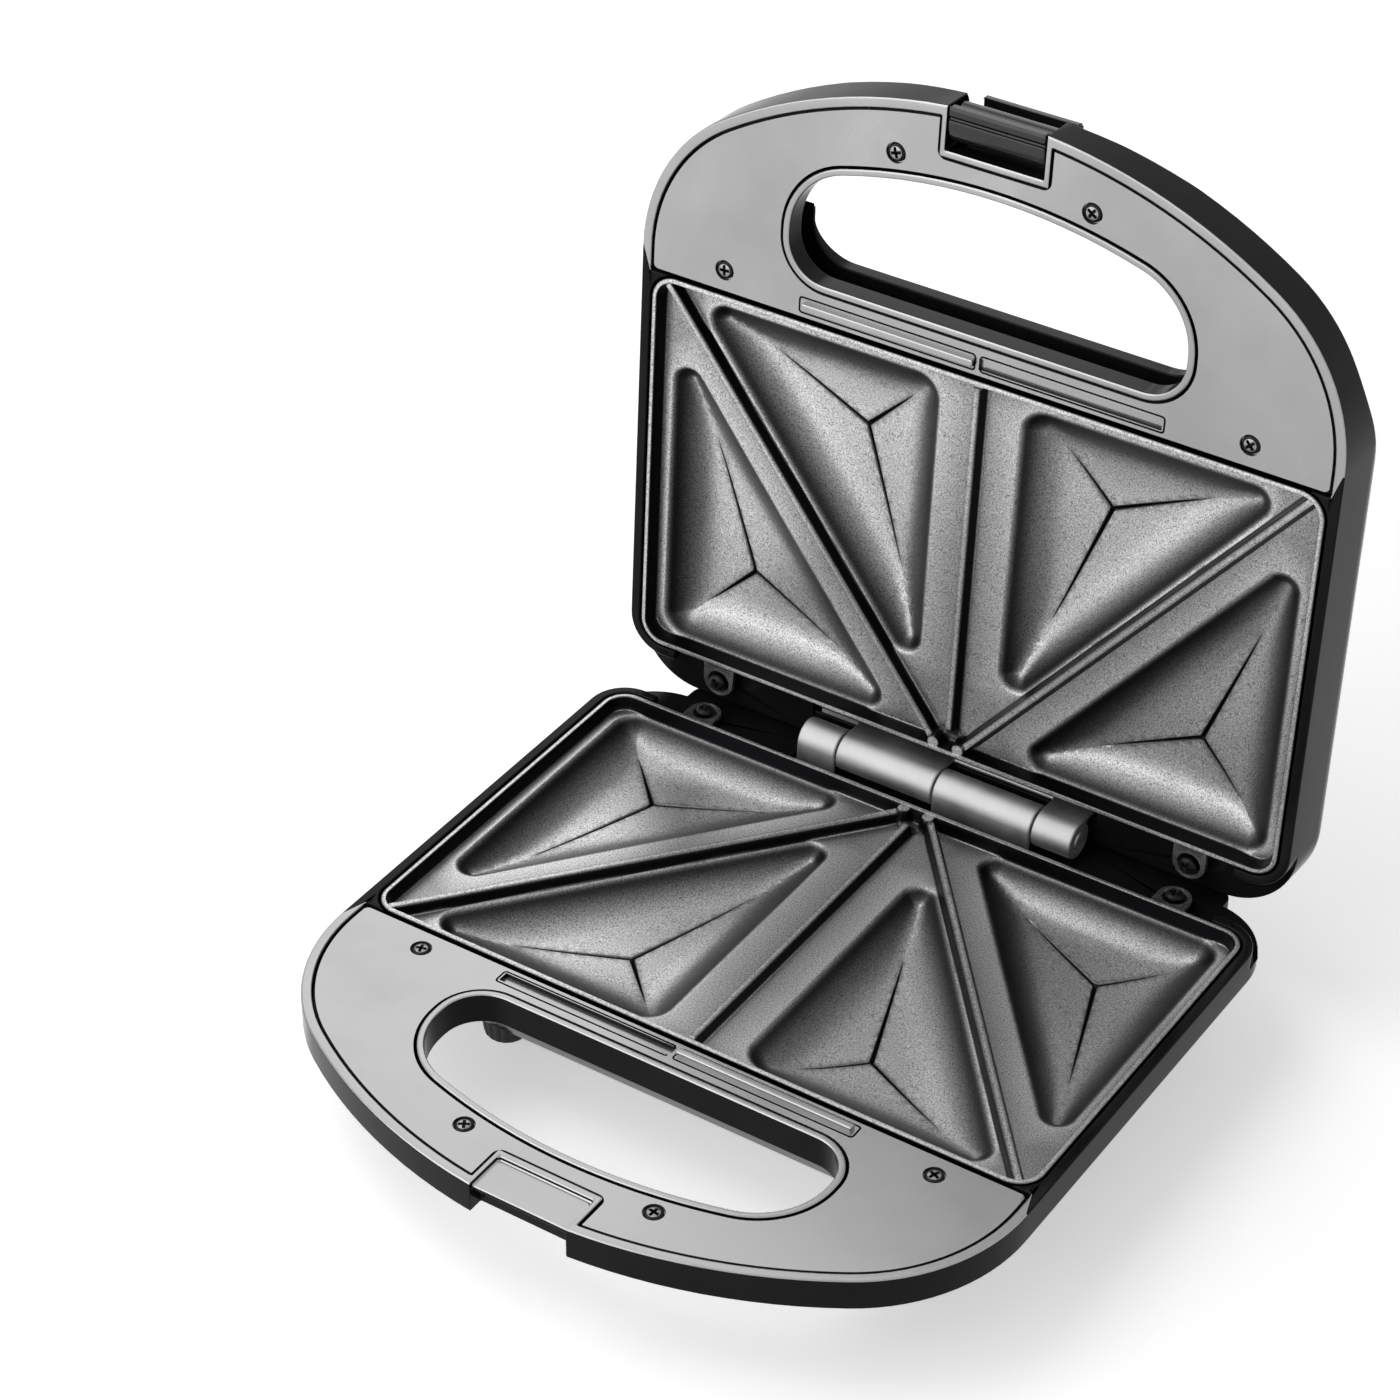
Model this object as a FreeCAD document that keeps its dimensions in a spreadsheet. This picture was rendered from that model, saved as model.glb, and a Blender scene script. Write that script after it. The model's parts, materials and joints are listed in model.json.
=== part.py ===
"""Two-slice sandwich toaster, built as a parametric FreeCAD document.

Frame: X to the right seen from the front, -Y to the front where the handle is, +Z up.  The origin is on
the worktop, under the middle of the base.  The lid and its latch are modelled closed and engaged, then
placed at their open angles about the hinge pin and the latch pin.
"""
import FreeCAD, Part
import math
import os
import Sketcher

V = FreeCAD.Vector
doc = FreeCAD.newDocument("SandwichToaster")
sheet = doc.addObject("Spreadsheet::Sheet", "Sizes")

# Every driving dimension, in millimetres and degrees, is written once here.
SIZES = {
    # levels
    "foot_rise": 8.5,            # worktop to underside of the base shell
    "parting": 38.0,             # height of the parting plane and of the hinge axis
    "lip_gap": 0.3,              # parting plane to the top of a plate lip
    "rim_gap": 0.4,              # parting plane to the shell rims
    "panel_gap": 0.8,            # parting plane to the handle panels
    # cooking plates
    "plate_wide": 220.0,
    "plate_deep": 127.0,
    "plate_corner": 8.0,
    "plate_back": 96.5,          # where the rear edge of the plates lies
    "plate_skin": 2.2,
    "lip_wide": 2.0,
    "lip_rise": 4.5,             # lip above the flat land between the pockets
    "ridge_wide": 2.8,
    "ridge_low": 1.0,            # ridge top below lip top
    "ridge_start": 4.2,          # sideways start of the slanting ridges
    "ridge_slope": 1.21,         # run to the front per run to the side
    "ridge_back": 2.9,           # where both slanting ridges would meet, behind the plate edge
    "knob_dia": 4.0,
    "pocket_side": 6.0,          # plate edge to rear pocket
    "pocket_back": 2.8,
    "pocket_front": 6.0,
    "pocket_middle": 13.5,       # centre line to front pocket
    "pocket_leg": 84.5,          # short leg of each triangular pocket
    "pocket_long": 103.8,        # long leg
    "pocket_round": 8.0,         # plan radius at the square corner
    "pocket_tip": 5.5,           # plan radius at the two sharp corners
    "pocket_wall": 4.0,          # drop of the steep pocket wall
    "pocket_lean": 3.8,          # inward run of that wall
    "pocket_slope": 2.8,         # further drop to the star point
    "star_flat": 0.8,
    "tab_side": 82.0,            # fixing tabs behind each plate
    "tab_back": 6.9,
    "tab_wide": 10.6,
    "tab_thick": 2.0,
    "tab_low": 2.2,              # tab top below lip top
    # shells
    "ledge_out": 6.5,            # ledge behind the rear wall, under the open lid
    "ledge_side": 3.0,           # each end of the ledge to the end of the shelf
    "plate_fit": 0.6,            # all-round clearance of a plate in its well
    "rim_half": 3.8,
    "rim_corner": 56.0,
    "rim_arc": 164.0,
    "rim_front": 80.6,
    "rim_wide": 3.1,             # shell rim outside the handle panel
    "rear_wall": 15.0,
    "rear_round": 22.0,
    "upper_back": 3.5,         # rear of the two mating bands
    "upper_round": 12.0,
    "shelf_drop": 6.0,           # shelf behind the plates, below the parting plane
    "band_tall": 10.0,
    "shell_wall": 2.5,
    "floor_thick": 2.5,
    "cover_gap": 0.05,           # joint between the base frame and its bottom cover
    "tub_side": 2.3,             # step in from the band to the tapered tub
    "tub_taper": 11.5,
    "tub_taper_back": 6.0,
    "tub_front": 10.0,
    "tub_front_low": -2.5,
    "deck_rise": 32.0,           # deck of the lid above the parting plane
    "deck_round": 14.0,
    "deck_front": -24.0,
    "slope_front": 27.5,         # foot of the slope from the deck to the handle
    "handle_rise": 14.0,         # crown of the lid's handle above the parting plane
    "pillow_half": 62.0,
    "pillow_front": 11.1,
    "pillow_rise": 25.0,
    "pillow_lean": 14.1,         # how far the front of the pillow leans back over the opening
    # handle opening and panels
    "open_half": 64.0,
    "open_corner": 22.5,
    "open_arc": 172.0,
    "open_front": 56.0,
    "open_back": 13.3,
    "open_round": 12.5,
    "collar": 2.1,               # wall round the handle opening
    "panel_fit": 0.4,            # groove between panel, rim and collar
    "panel_thick": 2.2,
    "channel_deep": 7.0,         # hollow of the base handle below the parting plane
    "key_far": 58.0,             # alignment rib and slot
    "key_near": 1.0,
    "key_mid": 5.2,
    "key_thick": 2.3,
    "key_tall": 1.6,
    "key_fit": 0.6,
    "post_dia": 8.0,
    "panel_screw_wide": 85.3,
    "panel_screw_back": 8.0,
    "panel_screw_near": 31.0,
    "panel_screw_front": 61.2,
    # screws
    "head_dia": 5.8,
    "head_tall": 1.6,
    "shank_dia": 3.0,
    "shank_long": 6.0,
    "cross_wide": 0.9,
    "cross_long": 3.6,
    "cross_deep": 0.9,
    "screw_fit": 0.3,            # clearance round heads and shanks, on the radius
    # hinge
    "hinge_back": 11.4,          # hinge axis behind the plates
    "hinge_pin": 6.0,
    "hinge_fit": 0.05,           # running clearance on the radius
    "barrel_dia": 12.0,
    "knuckle_far": 47.5,
    "knuckle_mid": 34.0,
    "knuckle_gap": 0.5,
    "leaf_thick": 1.5,
    "leaf_long": 17.5,
    "leaf_screw": 3.3,           # screw row above the free edge of a leaf
    "hinge_clear": 1.0,          # shell recess round the barrel
    "lid_open": 93.8,            # opening angle
    # latch
    "latch_half": 15.2,
    "latch_fit": 0.4,            # side play of the latch in its slot
    "latch_pin": 2.5,
    "latch_pin_long": 38.0,
    "latch_pin_front": 75.7,
    "latch_pin_rise": 8.0,
    "latch_face": 83.8,
    "latch_thick": 2.6,
    "latch_top": 15.6,           # above the parting plane
    "latch_back": 71.3,
    "latch_round": 6.5,
    "latch_tip": 13.0,           # below the parting plane
    "latch_shoulder": 6.0,
    "latch_knuckle": 6.0,
    "hook_deep": 4.7,
    "hook_low": 3.6,             # hook's bearing face below the parting plane
    "hook_tall": 1.6,
    "hook_play": 0.8,
    "latch_swing": 176.0,
    "slot_back": 66.5,
    "catch_thick": 1.2,
    "catch_front": 78.8,
    "catch_back": 74.8,
    # heating and inside parts
    "heater_dia": 6.6,
    "heater_low": 16.8,          # heater centre line below the parting plane
    "heater_side": -22.0,
    "heater_front": 100.0,
    "heater_back": 12.0,
    "heater_bend": 14.0,
    "stud_dia": 3.2,
    "stud_long": 8.0,
    "sheet_thick": 0.8,
    "tray_half": -13.0,
    "tray_front": 111.0,
    "tray_back": 4.0,
    "tray_rim": 1.4,
    "tray_low": 20.2,            # tray top below the parting plane
    "boss_dia": 8.0,
    "boss_side": 55.0,
    "boss_side_front": 57.6,
    "boss_mid_front": 80.0,
    "boss_mid_back": 26.0,
    "stat_dia": 15.0,
    "stat_tall": 9.0,
    "stat_front": 53.0,
    "fuse_dia": 5.0,
    "fuse_long": 26.0,
    "fuse_front": 14.0,          # behind the front edge of the base plate
    "block_back": 41.5,          # front of the terminal block to the rear wall
    "block_wide": 34.0,
    "block_deep": 14.0,
    "block_tall": 5.0,
    # feet, inlet, vents
    "foot_dia": 15.2,
    "foot_low_dia": 13.4,
    "foot_front": -11.0,
    "foot_front_wide": 70.0,
    "foot_rear": -8.5,
    "foot_rear_wide": 80.0,
    "peg_dia": 5.0,
    "peg_long": 5.0,
    "foot_fit": 0.1,
    "gland_dia": 12.0,
    "gland_bore": 6.6,
    "gland_side": 60.0,
    "gland_rise": 19.0,
    "gland_long": 15.0,
    "gland_flange": 16.0,
    "vent_long": 26.0,
    "vent_wide": 3.0,
    "vent_pitch": 9.0,
    # indicator
    "bezel_long": 39.0,
    "bezel_wide": 16.5,
    "bezel_rise": 2.4,
    "window_long": 34.0,
    "window_wide": 11.0,
    "window_bar": 1.2,
    "window_fit": 0.15,
    "lens_deep": 4.0,
    "indicator_back": 31.0,      # indicator centre in front of the plates' rear edge
    "lamp_dia": 4.0,
    "lamp_long": 11.0,
    "lamp_gap": 16.0,
}
for row, (alias, value) in enumerate(SIZES.items(), start=1):
    sheet.set("A%d" % row, alias.replace("_", " "))
    sheet.set("B%d" % row, repr(value))
    sheet.setAlias("B%d" % row, alias)
doc.recompute()


class Size(float):
    """A number that keeps the sheet expression it was worked out from."""

    def __new__(cls, value, text):
        item = super().__new__(cls, value)
        item.text = text
        return item

    def __add__(self, other):
        return Size(float(self) + float(other), "(%s + %s)" % (self.text, text_of(other)))

    def __radd__(self, other):
        return Size(float(other) + float(self), "(%s + %s)" % (text_of(other), self.text))

    def __sub__(self, other):
        return Size(float(self) - float(other), "(%s - %s)" % (self.text, text_of(other)))

    def __rsub__(self, other):
        return Size(float(other) - float(self), "(%s - %s)" % (text_of(other), self.text))

    def __mul__(self, other):
        return Size(float(self) * float(other), "(%s * %s)" % (self.text, text_of(other)))

    def __rmul__(self, other):
        return Size(float(other) * float(self), "(%s * %s)" % (text_of(other), self.text))

    def __truediv__(self, other):
        return Size(float(self) / float(other), "(%s / %s)" % (self.text, text_of(other)))

    def __neg__(self):
        return Size(-float(self), "(-1 * %s)" % self.text)


def text_of(number):
    """Give the expression text of a size or of a plain number."""
    return number.text if isinstance(number, Size) else repr(float(number))


def size(alias):
    """Read one named size back from the sheet."""
    return Size(float(sheet.get(alias)), "Sizes." + alias)


s = {alias: size(alias) for alias in SIZES}

# These sizes are written as distances outwards from an edge of the cooking plates, so that the housing, the handle
# and the latch stay with the plates.  From here on they are distances from the origin.
BEYOND_FRONT = ("rim_front", "tub_front", "tub_front_low", "deck_front", "slope_front", "pillow_front", "open_front",
                "open_back", "key_mid", "panel_screw_back", "panel_screw_front", "latch_pin_front", "latch_face",
                "latch_back", "slot_back", "catch_front", "catch_back", "foot_front")
BEYOND_SIDE = ("rim_half", "tray_half", "heater_side")
BEYOND_REAR = ("rear_wall", "upper_back", "foot_rear")
for alias in BEYOND_FRONT:
    s[alias] = s[alias] + s["plate_deep"] - s["plate_back"]
for alias in BEYOND_SIDE:
    s[alias] = s[alias] + s["plate_wide"] / 2
for alias in BEYOND_REAR:
    s[alias] = s[alias] + s["plate_back"]


def bind(item, prop, number):
    """Tie a property of an object to its size."""
    item.setExpression(prop, text_of(number))


# ---------------------------------------------------------------- levels and lines shared by the pieces
ZP = s["parting"]
LIP = ZP - s["lip_gap"]
LAND = LIP - s["lip_rise"]
SLAB = LAND - s["plate_skin"]
RIM = ZP - s["rim_gap"]
PANEL_TOP = ZP - s["panel_gap"]
PANEL_LOW = PANEL_TOP - s["panel_thick"]
SHELF = ZP - s["shelf_drop"]
BAND = RIM - s["band_tall"]
FLOOR = s["foot_rise"]
DECK = ZP + s["deck_rise"]
PLATE_Y = s["plate_back"]
PLATE_FRONT = PLATE_Y - s["plate_deep"]
HINGE_Y = PLATE_Y + s["hinge_back"]
WELL_HALF = s["plate_wide"] / 2 + s["plate_fit"]
WELL_FRONT = PLATE_FRONT - s["plate_fit"]
WELL_BACK = PLATE_Y + s["plate_fit"]
PANEL_BACK = WELL_FRONT - s["panel_fit"]
CHANNEL_BACK = PANEL_BACK - 1.8
SLOT_HALF = s["latch_half"] + s["latch_fit"]
LATCH_Z = ZP + s["latch_pin_rise"]
TOP_CUT = ZP + 60
AWAY = s["rim_front"] + 20       # clear in front of everything
HOLD = s["shell_wall"] - 0.5


def mirror_z(level):
    """Height of the lid's copy of a base level, across the parting plane."""
    return ZP * 2 - level


# ---------------------------------------------------------------- plan outlines
def line(a, b):
    return Part.LineSegment(V(float(a[0]), float(a[1]), 0), V(float(b[0]), float(b[1]), 0))


def bow(x, y, radius, start, end):
    return Part.ArcOfCircle(Part.Circle(V(float(x), float(y), 0), V(0, 0, 1), float(radius)), start, end)


def rounded(points, radii):
    """Closed outline through the points, each corner with its own radius."""
    count = len(points)
    joins = []
    for i, (point, radius) in enumerate(zip(points, radii)):
        p = V(float(point[0]), float(point[1]), 0)
        before = points[i - 1]
        after = points[(i + 1) % count]
        u = (V(float(before[0]), float(before[1]), 0) - p).normalize()
        w = (V(float(after[0]), float(after[1]), 0) - p).normalize()
        half = u.getAngle(w) / 2
        if radius <= 0:
            joins.append((p, None, p))
            continue
        cut = float(radius) / math.tan(half)
        heart = p + (u + w).normalize() * (float(radius) / math.sin(half))
        middle = heart + (p - heart).normalize() * float(radius)
        joins.append((p + u * cut, middle, p + w * cut))
    shapes = []
    for i, (start, middle, end) in enumerate(joins):
        if middle is not None:
            shapes.append(Part.Arc(start, middle, end))
        following = joins[(i + 1) % count][0]
        if end.distanceToPoint(following) > 1e-6:
            shapes.append(Part.LineSegment(end, following))
    return shapes


def rect(x0, x1, y0, y1, radius=0.0):
    return rounded([(x0, y0), (x1, y0), (x1, y1), (x0, y1)], [radius] * 4)


def notch_line(half, back, radius):
    """Outline of a notch that is open to the front, with rounded inner corners."""
    return rounded([(-half, -AWAY), (half, -AWAY), (half, back), (-half, back)], [0, 0, radius, radius])


def d_outline(half, corner, arc, front, back, back_round):
    """The D of the toaster: straight sides and back, big round corners into a bowed front."""
    centre = arc - front
    room = (arc ** 2 - half ** 2 - (centre - back + back_round) ** 2) / (2 * (arc - half))
    corner = min(corner, room)       # a wide, shallow outline has no room for the full corner
    xc = half - corner
    yc = centre - math.sqrt((arc - corner) ** 2 - xc ** 2)
    lean = math.atan2(yc - centre, xc)
    rest = half - back_round
    level = back - back_round
    left, right = [], []
    if level - yc > 1e-6:            # a corner that takes up the whole side leaves no straight
        left, right = [line((-half, level), (-half, yc))], [line((half, yc), (half, level))]
    return [
        line((rest, back), (-rest, back)),
        bow(-rest, level, back_round, math.pi / 2, math.pi),
        *left,
        bow(-xc, yc, corner, math.pi, math.pi - lean),
        bow(0, centre, arc, -math.pi - lean, lean),
        bow(xc, yc, corner, lean, 0),
        *right,
        bow(rest, level, back_round, 0, math.pi / 2),
    ]


def rim_line(inset, back, back_round):
    """The shell outline, moved inwards by an inset."""
    return d_outline(float(s["rim_half"]) - inset, float(s["rim_corner"]) - inset,
                     float(s["rim_arc"]) - inset, float(s["rim_front"]) - inset, float(back), float(back_round))


def opening_line(grow):
    """The handle opening, moved outwards by a grow."""
    return d_outline(float(s["open_half"]) + grow, float(s["open_corner"]) + grow, float(s["open_arc"]) + grow,
                     float(s["open_front"]) + grow, grow - float(s["open_back"]), float(s["open_round"]) + grow)


# ---------------------------------------------------------------- document helpers
def new_body(label):
    body = doc.addObject("PartDesign::Body", label)
    body.Label = label
    return body


def origin_plane(body, role):
    for item in body.Origin.OriginFeatures:
        if item.Role == role:
            return item
    raise ValueError(role)


def sketch(body, name, shapes, offset, role="XY_Plane"):
    """Draw shapes on a plane of the body, moved along its normal by an offset."""
    item = body.newObject("Sketcher::SketchObject", name)
    item.AttachmentSupport = [(origin_plane(body, role), "")]
    item.MapMode = "FlatFace"
    bind(item, "AttachmentOffset.Base.z", offset)
    item.addGeometry(shapes, False)
    return item


def spots(body, name, centres, dia, offset, role="XY_Plane"):
    """Draw constrained circles whose places and diameter follow the sheet."""
    shapes = [Part.Circle(V(float(x), float(y), 0), V(0, 0, 1), float(dia) / 2) for x, y in centres]
    item = sketch(body, name, shapes, offset, role)
    for i, (x, y) in enumerate(centres):
        for kind, value in (("Diameter", dia), ("DistanceX", x), ("DistanceY", y)):
            if kind == "Diameter":
                index = item.addConstraint(Sketcher.Constraint(kind, i, float(value)))
            else:
                index = item.addConstraint(Sketcher.Constraint(kind, -1, 1, i, 3, float(value)))
            bind(item, "Constraints[%d]" % index, value)
    return item


def volume(body):
    doc.recompute()
    return body.Shape.Volume if body.Tip is not None else 0.0


def pad(body, profile, length):
    """Grow a profile along its normal."""
    item = body.newObject("PartDesign::Pad", profile.Name + "_pad")
    item.Profile = profile
    bind(item, "Length", length)
    profile.Visibility = False
    return item


def pocket(body, profile, length):
    """Cut a profile against its normal, and make sure that it took something away."""
    before = volume(body)
    item = body.newObject("PartDesign::Pocket", profile.Name + "_cut")
    item.Profile = profile
    bind(item, "Length", length)
    if not volume(body) < before - 0.01:
        raise RuntimeError("the pocket %s cuts nothing" % item.Name)
    return item


def round_over(body, radius, level):
    """Round the edges of the last feature that lie at a level."""
    doc.recompute()
    base = body.Tip
    level = float(level)
    edges = ["Edge%d" % (i + 1) for i, edge in enumerate(base.Shape.Edges)
             if abs(edge.BoundBox.ZMin - level) < 1e-4 and abs(edge.BoundBox.ZMax - level) < 1e-4]
    item = body.newObject("PartDesign::Fillet", base.Name + "_round")
    item.Base = (base, edges)
    bind(item, "Radius", radius)
    return item


def loft(body, kind, profiles):
    """Straight-sided loft through profiles; kind is Additive or Subtractive."""
    item = body.newObject("PartDesign::%sLoft" % kind, profiles[0].Name + "_loft")
    item.Profile = profiles[0]
    item.Sections = profiles[1:]
    item.Ruled = True
    return item


def mirrored(body, originals, name):
    """Copy features to the other side of the middle plane."""
    item = body.newObject("PartDesign::Mirrored", name)
    item.Originals = originals
    item.MirrorPlane = (origin_plane(body, "YZ_Plane"), [""])
    body.Tip = item
    return item


def block(name, x0, x1, y0, y1, z0, z1):
    item = doc.addObject("Part::Box", name)
    for prop, low, high in (("Length", x0, x1), ("Width", y0, y1), ("Height", z0, z1)):
        bind(item, prop, high - low)
    for axis, low in (("x", x0), ("y", y0), ("z", z0)):
        bind(item, "Placement.Base." + axis, low)
    return item


TURNS = {"z": FreeCAD.Rotation(), "x": FreeCAD.Rotation(V(0, 1, 0), 90), "y": FreeCAD.Rotation(V(1, 0, 0), -90)}


def rod(name, axis, dia, long, x, y, z, low_dia=None):
    """Cylinder, or cone when low_dia is given, growing along +axis from its start."""
    item = doc.addObject("Part::Cylinder" if low_dia is None else "Part::Cone", name)
    if low_dia is None:
        bind(item, "Radius", dia / 2)
    else:
        bind(item, "Radius1", low_dia / 2)
        bind(item, "Radius2", dia / 2)
    bind(item, "Height", long)
    item.Placement = FreeCAD.Placement(V(float(x), float(y), float(z)), TURNS[axis])
    for letter, value in (("x", x), ("y", y), ("z", z)):
        bind(item, "Placement.Base." + letter, value)
    return item


def fuse(name, items):
    item = doc.addObject("Part::MultiFuse", name)
    item.Shapes = items
    return item


def minus(name, base, tool):
    item = doc.addObject("Part::Cut", name)
    item.Base = base
    item.Tool = tool
    return item


def group(label, items):
    """Several separate solids that share one node."""
    item = doc.addObject("Part::Compound", label)
    item.Links = items
    return item


# ---------------------------------------------------------------- where the moving pieces stand
FLIP = FreeCAD.Placement(V(0, 0, 0), FreeCAD.Rotation(V(0, 1, 0), 180), V(0, 0, float(ZP)))
OPEN = FreeCAD.Placement(V(0, 0, 0), FreeCAD.Rotation(V(1, 0, 0), -float(s["lid_open"])),
                         V(0, float(HINGE_Y), float(ZP)))
SWING = FreeCAD.Placement(V(0, 0, 0), FreeCAD.Rotation(V(1, 0, 0), -float(s["latch_swing"])),
                          V(0, -float(s["latch_pin_front"]), float(LATCH_Z)))
HOME = FreeCAD.Placement()
nodes = {}


def keep(label, item, placement=HOME):
    """Name a finished sub-part and put it where it stands."""
    item.Label = label
    item.Placement = placement
    nodes[label] = item
    return item


def screw(name, x, y, z, turned=False, axis="z"):
    """Cross-head screw: the underside of its head is at the given point, its shank goes down or back."""
    way = 1 if turned else -1
    if axis == "y":
        head = rod(name + "_head", "y", s["head_dia"], s["head_tall"], x, y - s["head_tall"], z)
        shank = rod(name + "_shank", "y", s["shank_dia"], s["shank_long"] * 0.6, x, y, z)
        top = y - s["head_tall"]
        half, wide = s["cross_long"] / 2, s["cross_wide"] / 2
        bars = [block(name + "_a", x - half, x + half, top, top + s["cross_deep"], z - wide, z + wide),
                block(name + "_b", x - wide, x + wide, top, top + s["cross_deep"], z - half, z + half)]
        return minus(name, fuse(name + "_solid", [head, shank]), fuse(name + "_cross", bars))
    base = z if way < 0 else z - s["head_tall"]
    head = rod(name + "_head", "z", s["head_dia"], s["head_tall"], x, y, base)
    shank = rod(name + "_shank", "z", s["shank_dia"], s["shank_long"], x, y,
                z - s["shank_long"] if way < 0 else z)
    half, wide = s["cross_long"] / 2, s["cross_wide"] / 2
    low = z + s["head_tall"] - s["cross_deep"] if way < 0 else z - s["head_tall"]
    bars = [block(name + "_a", x - half, x + half, y - wide, y + wide, low, low + s["cross_deep"]),
            block(name + "_b", x - wide, x + wide, y - half, y + half, low, low + s["cross_deep"])]
    return minus(name, fuse(name + "_solid", [head, shank]), fuse(name + "_cross", bars))


# ---------------------------------------------------------------- cooking plates, one pressing used twice
def triangle(corner, x_way, y_way, inset):
    """A right-angled pocket outline, moved inwards from its walls by an inset."""
    cx, cy = float(corner[0]), float(corner[1])
    leg, long = float(s["pocket_leg"]), float(s["pocket_long"])
    inner = (leg + long - math.hypot(leg, long)) / 2
    heart = (cx + x_way * inner, cy + y_way * inner)
    share = (inner - inset) / inner
    points = []
    for px, py in ((cx, cy), (cx + x_way * leg, cy), (cx, cy + y_way * long)):
        points.append((heart[0] + (px - heart[0]) * share, heart[1] + (py - heart[1]) * share))
    radii = [max(float(r) - inset, 0.25) for r in (s["pocket_round"], s["pocket_tip"], s["pocket_tip"])]
    return rounded(points, radii)


def pocket_inradius():
    leg, long = float(s["pocket_leg"]), float(s["pocket_long"])
    return (leg + long - math.hypot(leg, long)) / 2


REAR_POCKET = (-(s["plate_wide"] / 2 - s["pocket_side"]), PLATE_Y - s["pocket_back"])
FRONT_POCKET = (-s["pocket_middle"], PLATE_FRONT + s["pocket_front"])
BOSSES = [(-s["boss_side"], PLATE_Y - s["boss_side_front"]), (s["boss_side"], PLATE_Y - s["boss_side_front"]),
          (0.0, PLATE_Y - s["boss_mid_front"]), (0.0, PLATE_Y - s["boss_mid_back"])]
TABS = [(-s["tab_side"], PLATE_Y + s["tab_back"]), (s["tab_side"], PLATE_Y + s["tab_back"])]
TRAY_TOP = ZP - s["tray_low"]


def slanting_ridge(way):
    """One ridge that runs from the middle of the rear lip to the front lip, or the side lip if it comes first."""
    slope = float(s["ridge_slope"])
    back = float(PLATE_Y) + float(s["ridge_back"])
    x0 = float(s["ridge_start"])
    y1 = float(PLATE_FRONT) + float(s["lip_wide"]) + 1.0
    x1 = min((back - y1) / slope, float(s["plate_wide"]) / 2 - float(s["lip_wide"]) - 1.0)
    y0, y1 = back - slope * x0, back - slope * x1
    length = math.hypot(x1 - x0, y1 - y0)
    nx, ny = (y0 - y1) / length, (x1 - x0) / length
    h = float(s["ridge_wide"]) / 2
    points = [(x0 + nx * h, y0 + ny * h), (x0 - nx * h, y0 - ny * h),
              (x1 - nx * h, y1 - ny * h), (x1 + nx * h, y1 + ny * h)]
    return rounded([(way * x, y) for x, y in points], [0, 0, 0, 0])


def make_plate(label, placement):
    half, corner, lip = s["plate_wide"] / 2, float(s["plate_corner"]), s["lip_wide"]
    body = new_body(label)
    pad(body, sketch(body, label + "_slab", rect(-half, half, PLATE_FRONT, PLATE_Y, corner), SLAB),
        s["plate_skin"])
    inner = rect(-half + lip, half - lip, PLATE_FRONT + lip, PLATE_Y - lip, corner - float(lip))
    pad(body, sketch(body, label + "_lip", rect(-half, half, PLATE_FRONT, PLATE_Y, corner) + inner, SLAB),
        LIP - SLAB)
    ridge = s["ridge_wide"] / 2
    middle_back = PLATE_Y - s["ridge_start"] - 3.0
    ridges = [slanting_ridge(1), slanting_ridge(-1), rect(-ridge, ridge, PLATE_FRONT + 1, middle_back)]
    for i, outline in enumerate(ridges):
        pad(body, sketch(body, "%s_ridge%d" % (label, i), outline, SLAB), LIP - s["ridge_low"] - SLAB)
    knob_y = PLATE_Y - s["lip_wide"] - s["knob_dia"] / 4
    pad(body, spots(body, label + "_knobs", [(-s["ridge_start"], knob_y), (s["ridge_start"], knob_y)],
                    s["knob_dia"], SLAB), LIP - SLAB)
    pad(body, spots(body, label + "_bosses", BOSSES, s["boss_dia"], TRAY_TOP), LAND - 1 - TRAY_TOP)
    tabs = []
    for i, (x, y) in enumerate(TABS):
        wide = s["tab_wide"] / 2
        outline = rounded([(x - wide, PLATE_Y - 1), (x + wide, PLATE_Y - 1), (x + wide, y + 4.6), (x - wide, y + 4.6)],
                          [0, 0, 4.0, 4.0])
        tabs.append(pad(body, sketch(body, "%s_tab%d" % (label, i), outline, LIP - s["tab_low"] - s["tab_thick"]),
                        s["tab_thick"]))
    features = []
    deepest = s["pocket_wall"] + s["pocket_slope"]
    point = pocket_inradius() - float(s["star_flat"])
    for name, corner_at, x_way, y_way in (("rear", REAR_POCKET, 1, -1), ("front", FRONT_POCKET, -1, 1)):
        skin, lean = float(s["plate_skin"]), float(s["pocket_lean"])
        outer = [(-0.7 * skin, SLAB + 0.5), (lean - 0.8 * skin, LAND - s["pocket_wall"] - s["plate_skin"]),
                 (point, LAND - deepest - s["plate_skin"])]
        steps = [sketch(body, "%s_%s_out%d" % (label, name, i), triangle(corner_at, x_way, y_way, inset), level)
                 for i, (inset, level) in enumerate(outer)]
        features.append(loft(body, "Additive", steps))
        inside = [(0.0, LAND), (lean, LAND - s["pocket_wall"]), (point, LAND - deepest)]
        steps = [sketch(body, "%s_%s_in%d" % (label, name, i), triangle(corner_at, x_way, y_way, inset), level)
                 for i, (inset, level) in enumerate(inside)]
        features.append(loft(body, "Subtractive", steps))
    mirrored(body, features, label + "_pockets")
    pocket(body, spots(body, label + "_tab_holes", TABS, s["shank_dia"] + s["screw_fit"] * 2, ZP),
           s["shelf_drop"])
    pocket(body, spots(body, label + "_boss_holes", BOSSES, s["shank_dia"] + s["screw_fit"] * 2,
                       TRAY_TOP + s["shank_long"] + 1), s["shank_long"] + 3)
    keep(label, body, placement)


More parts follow.
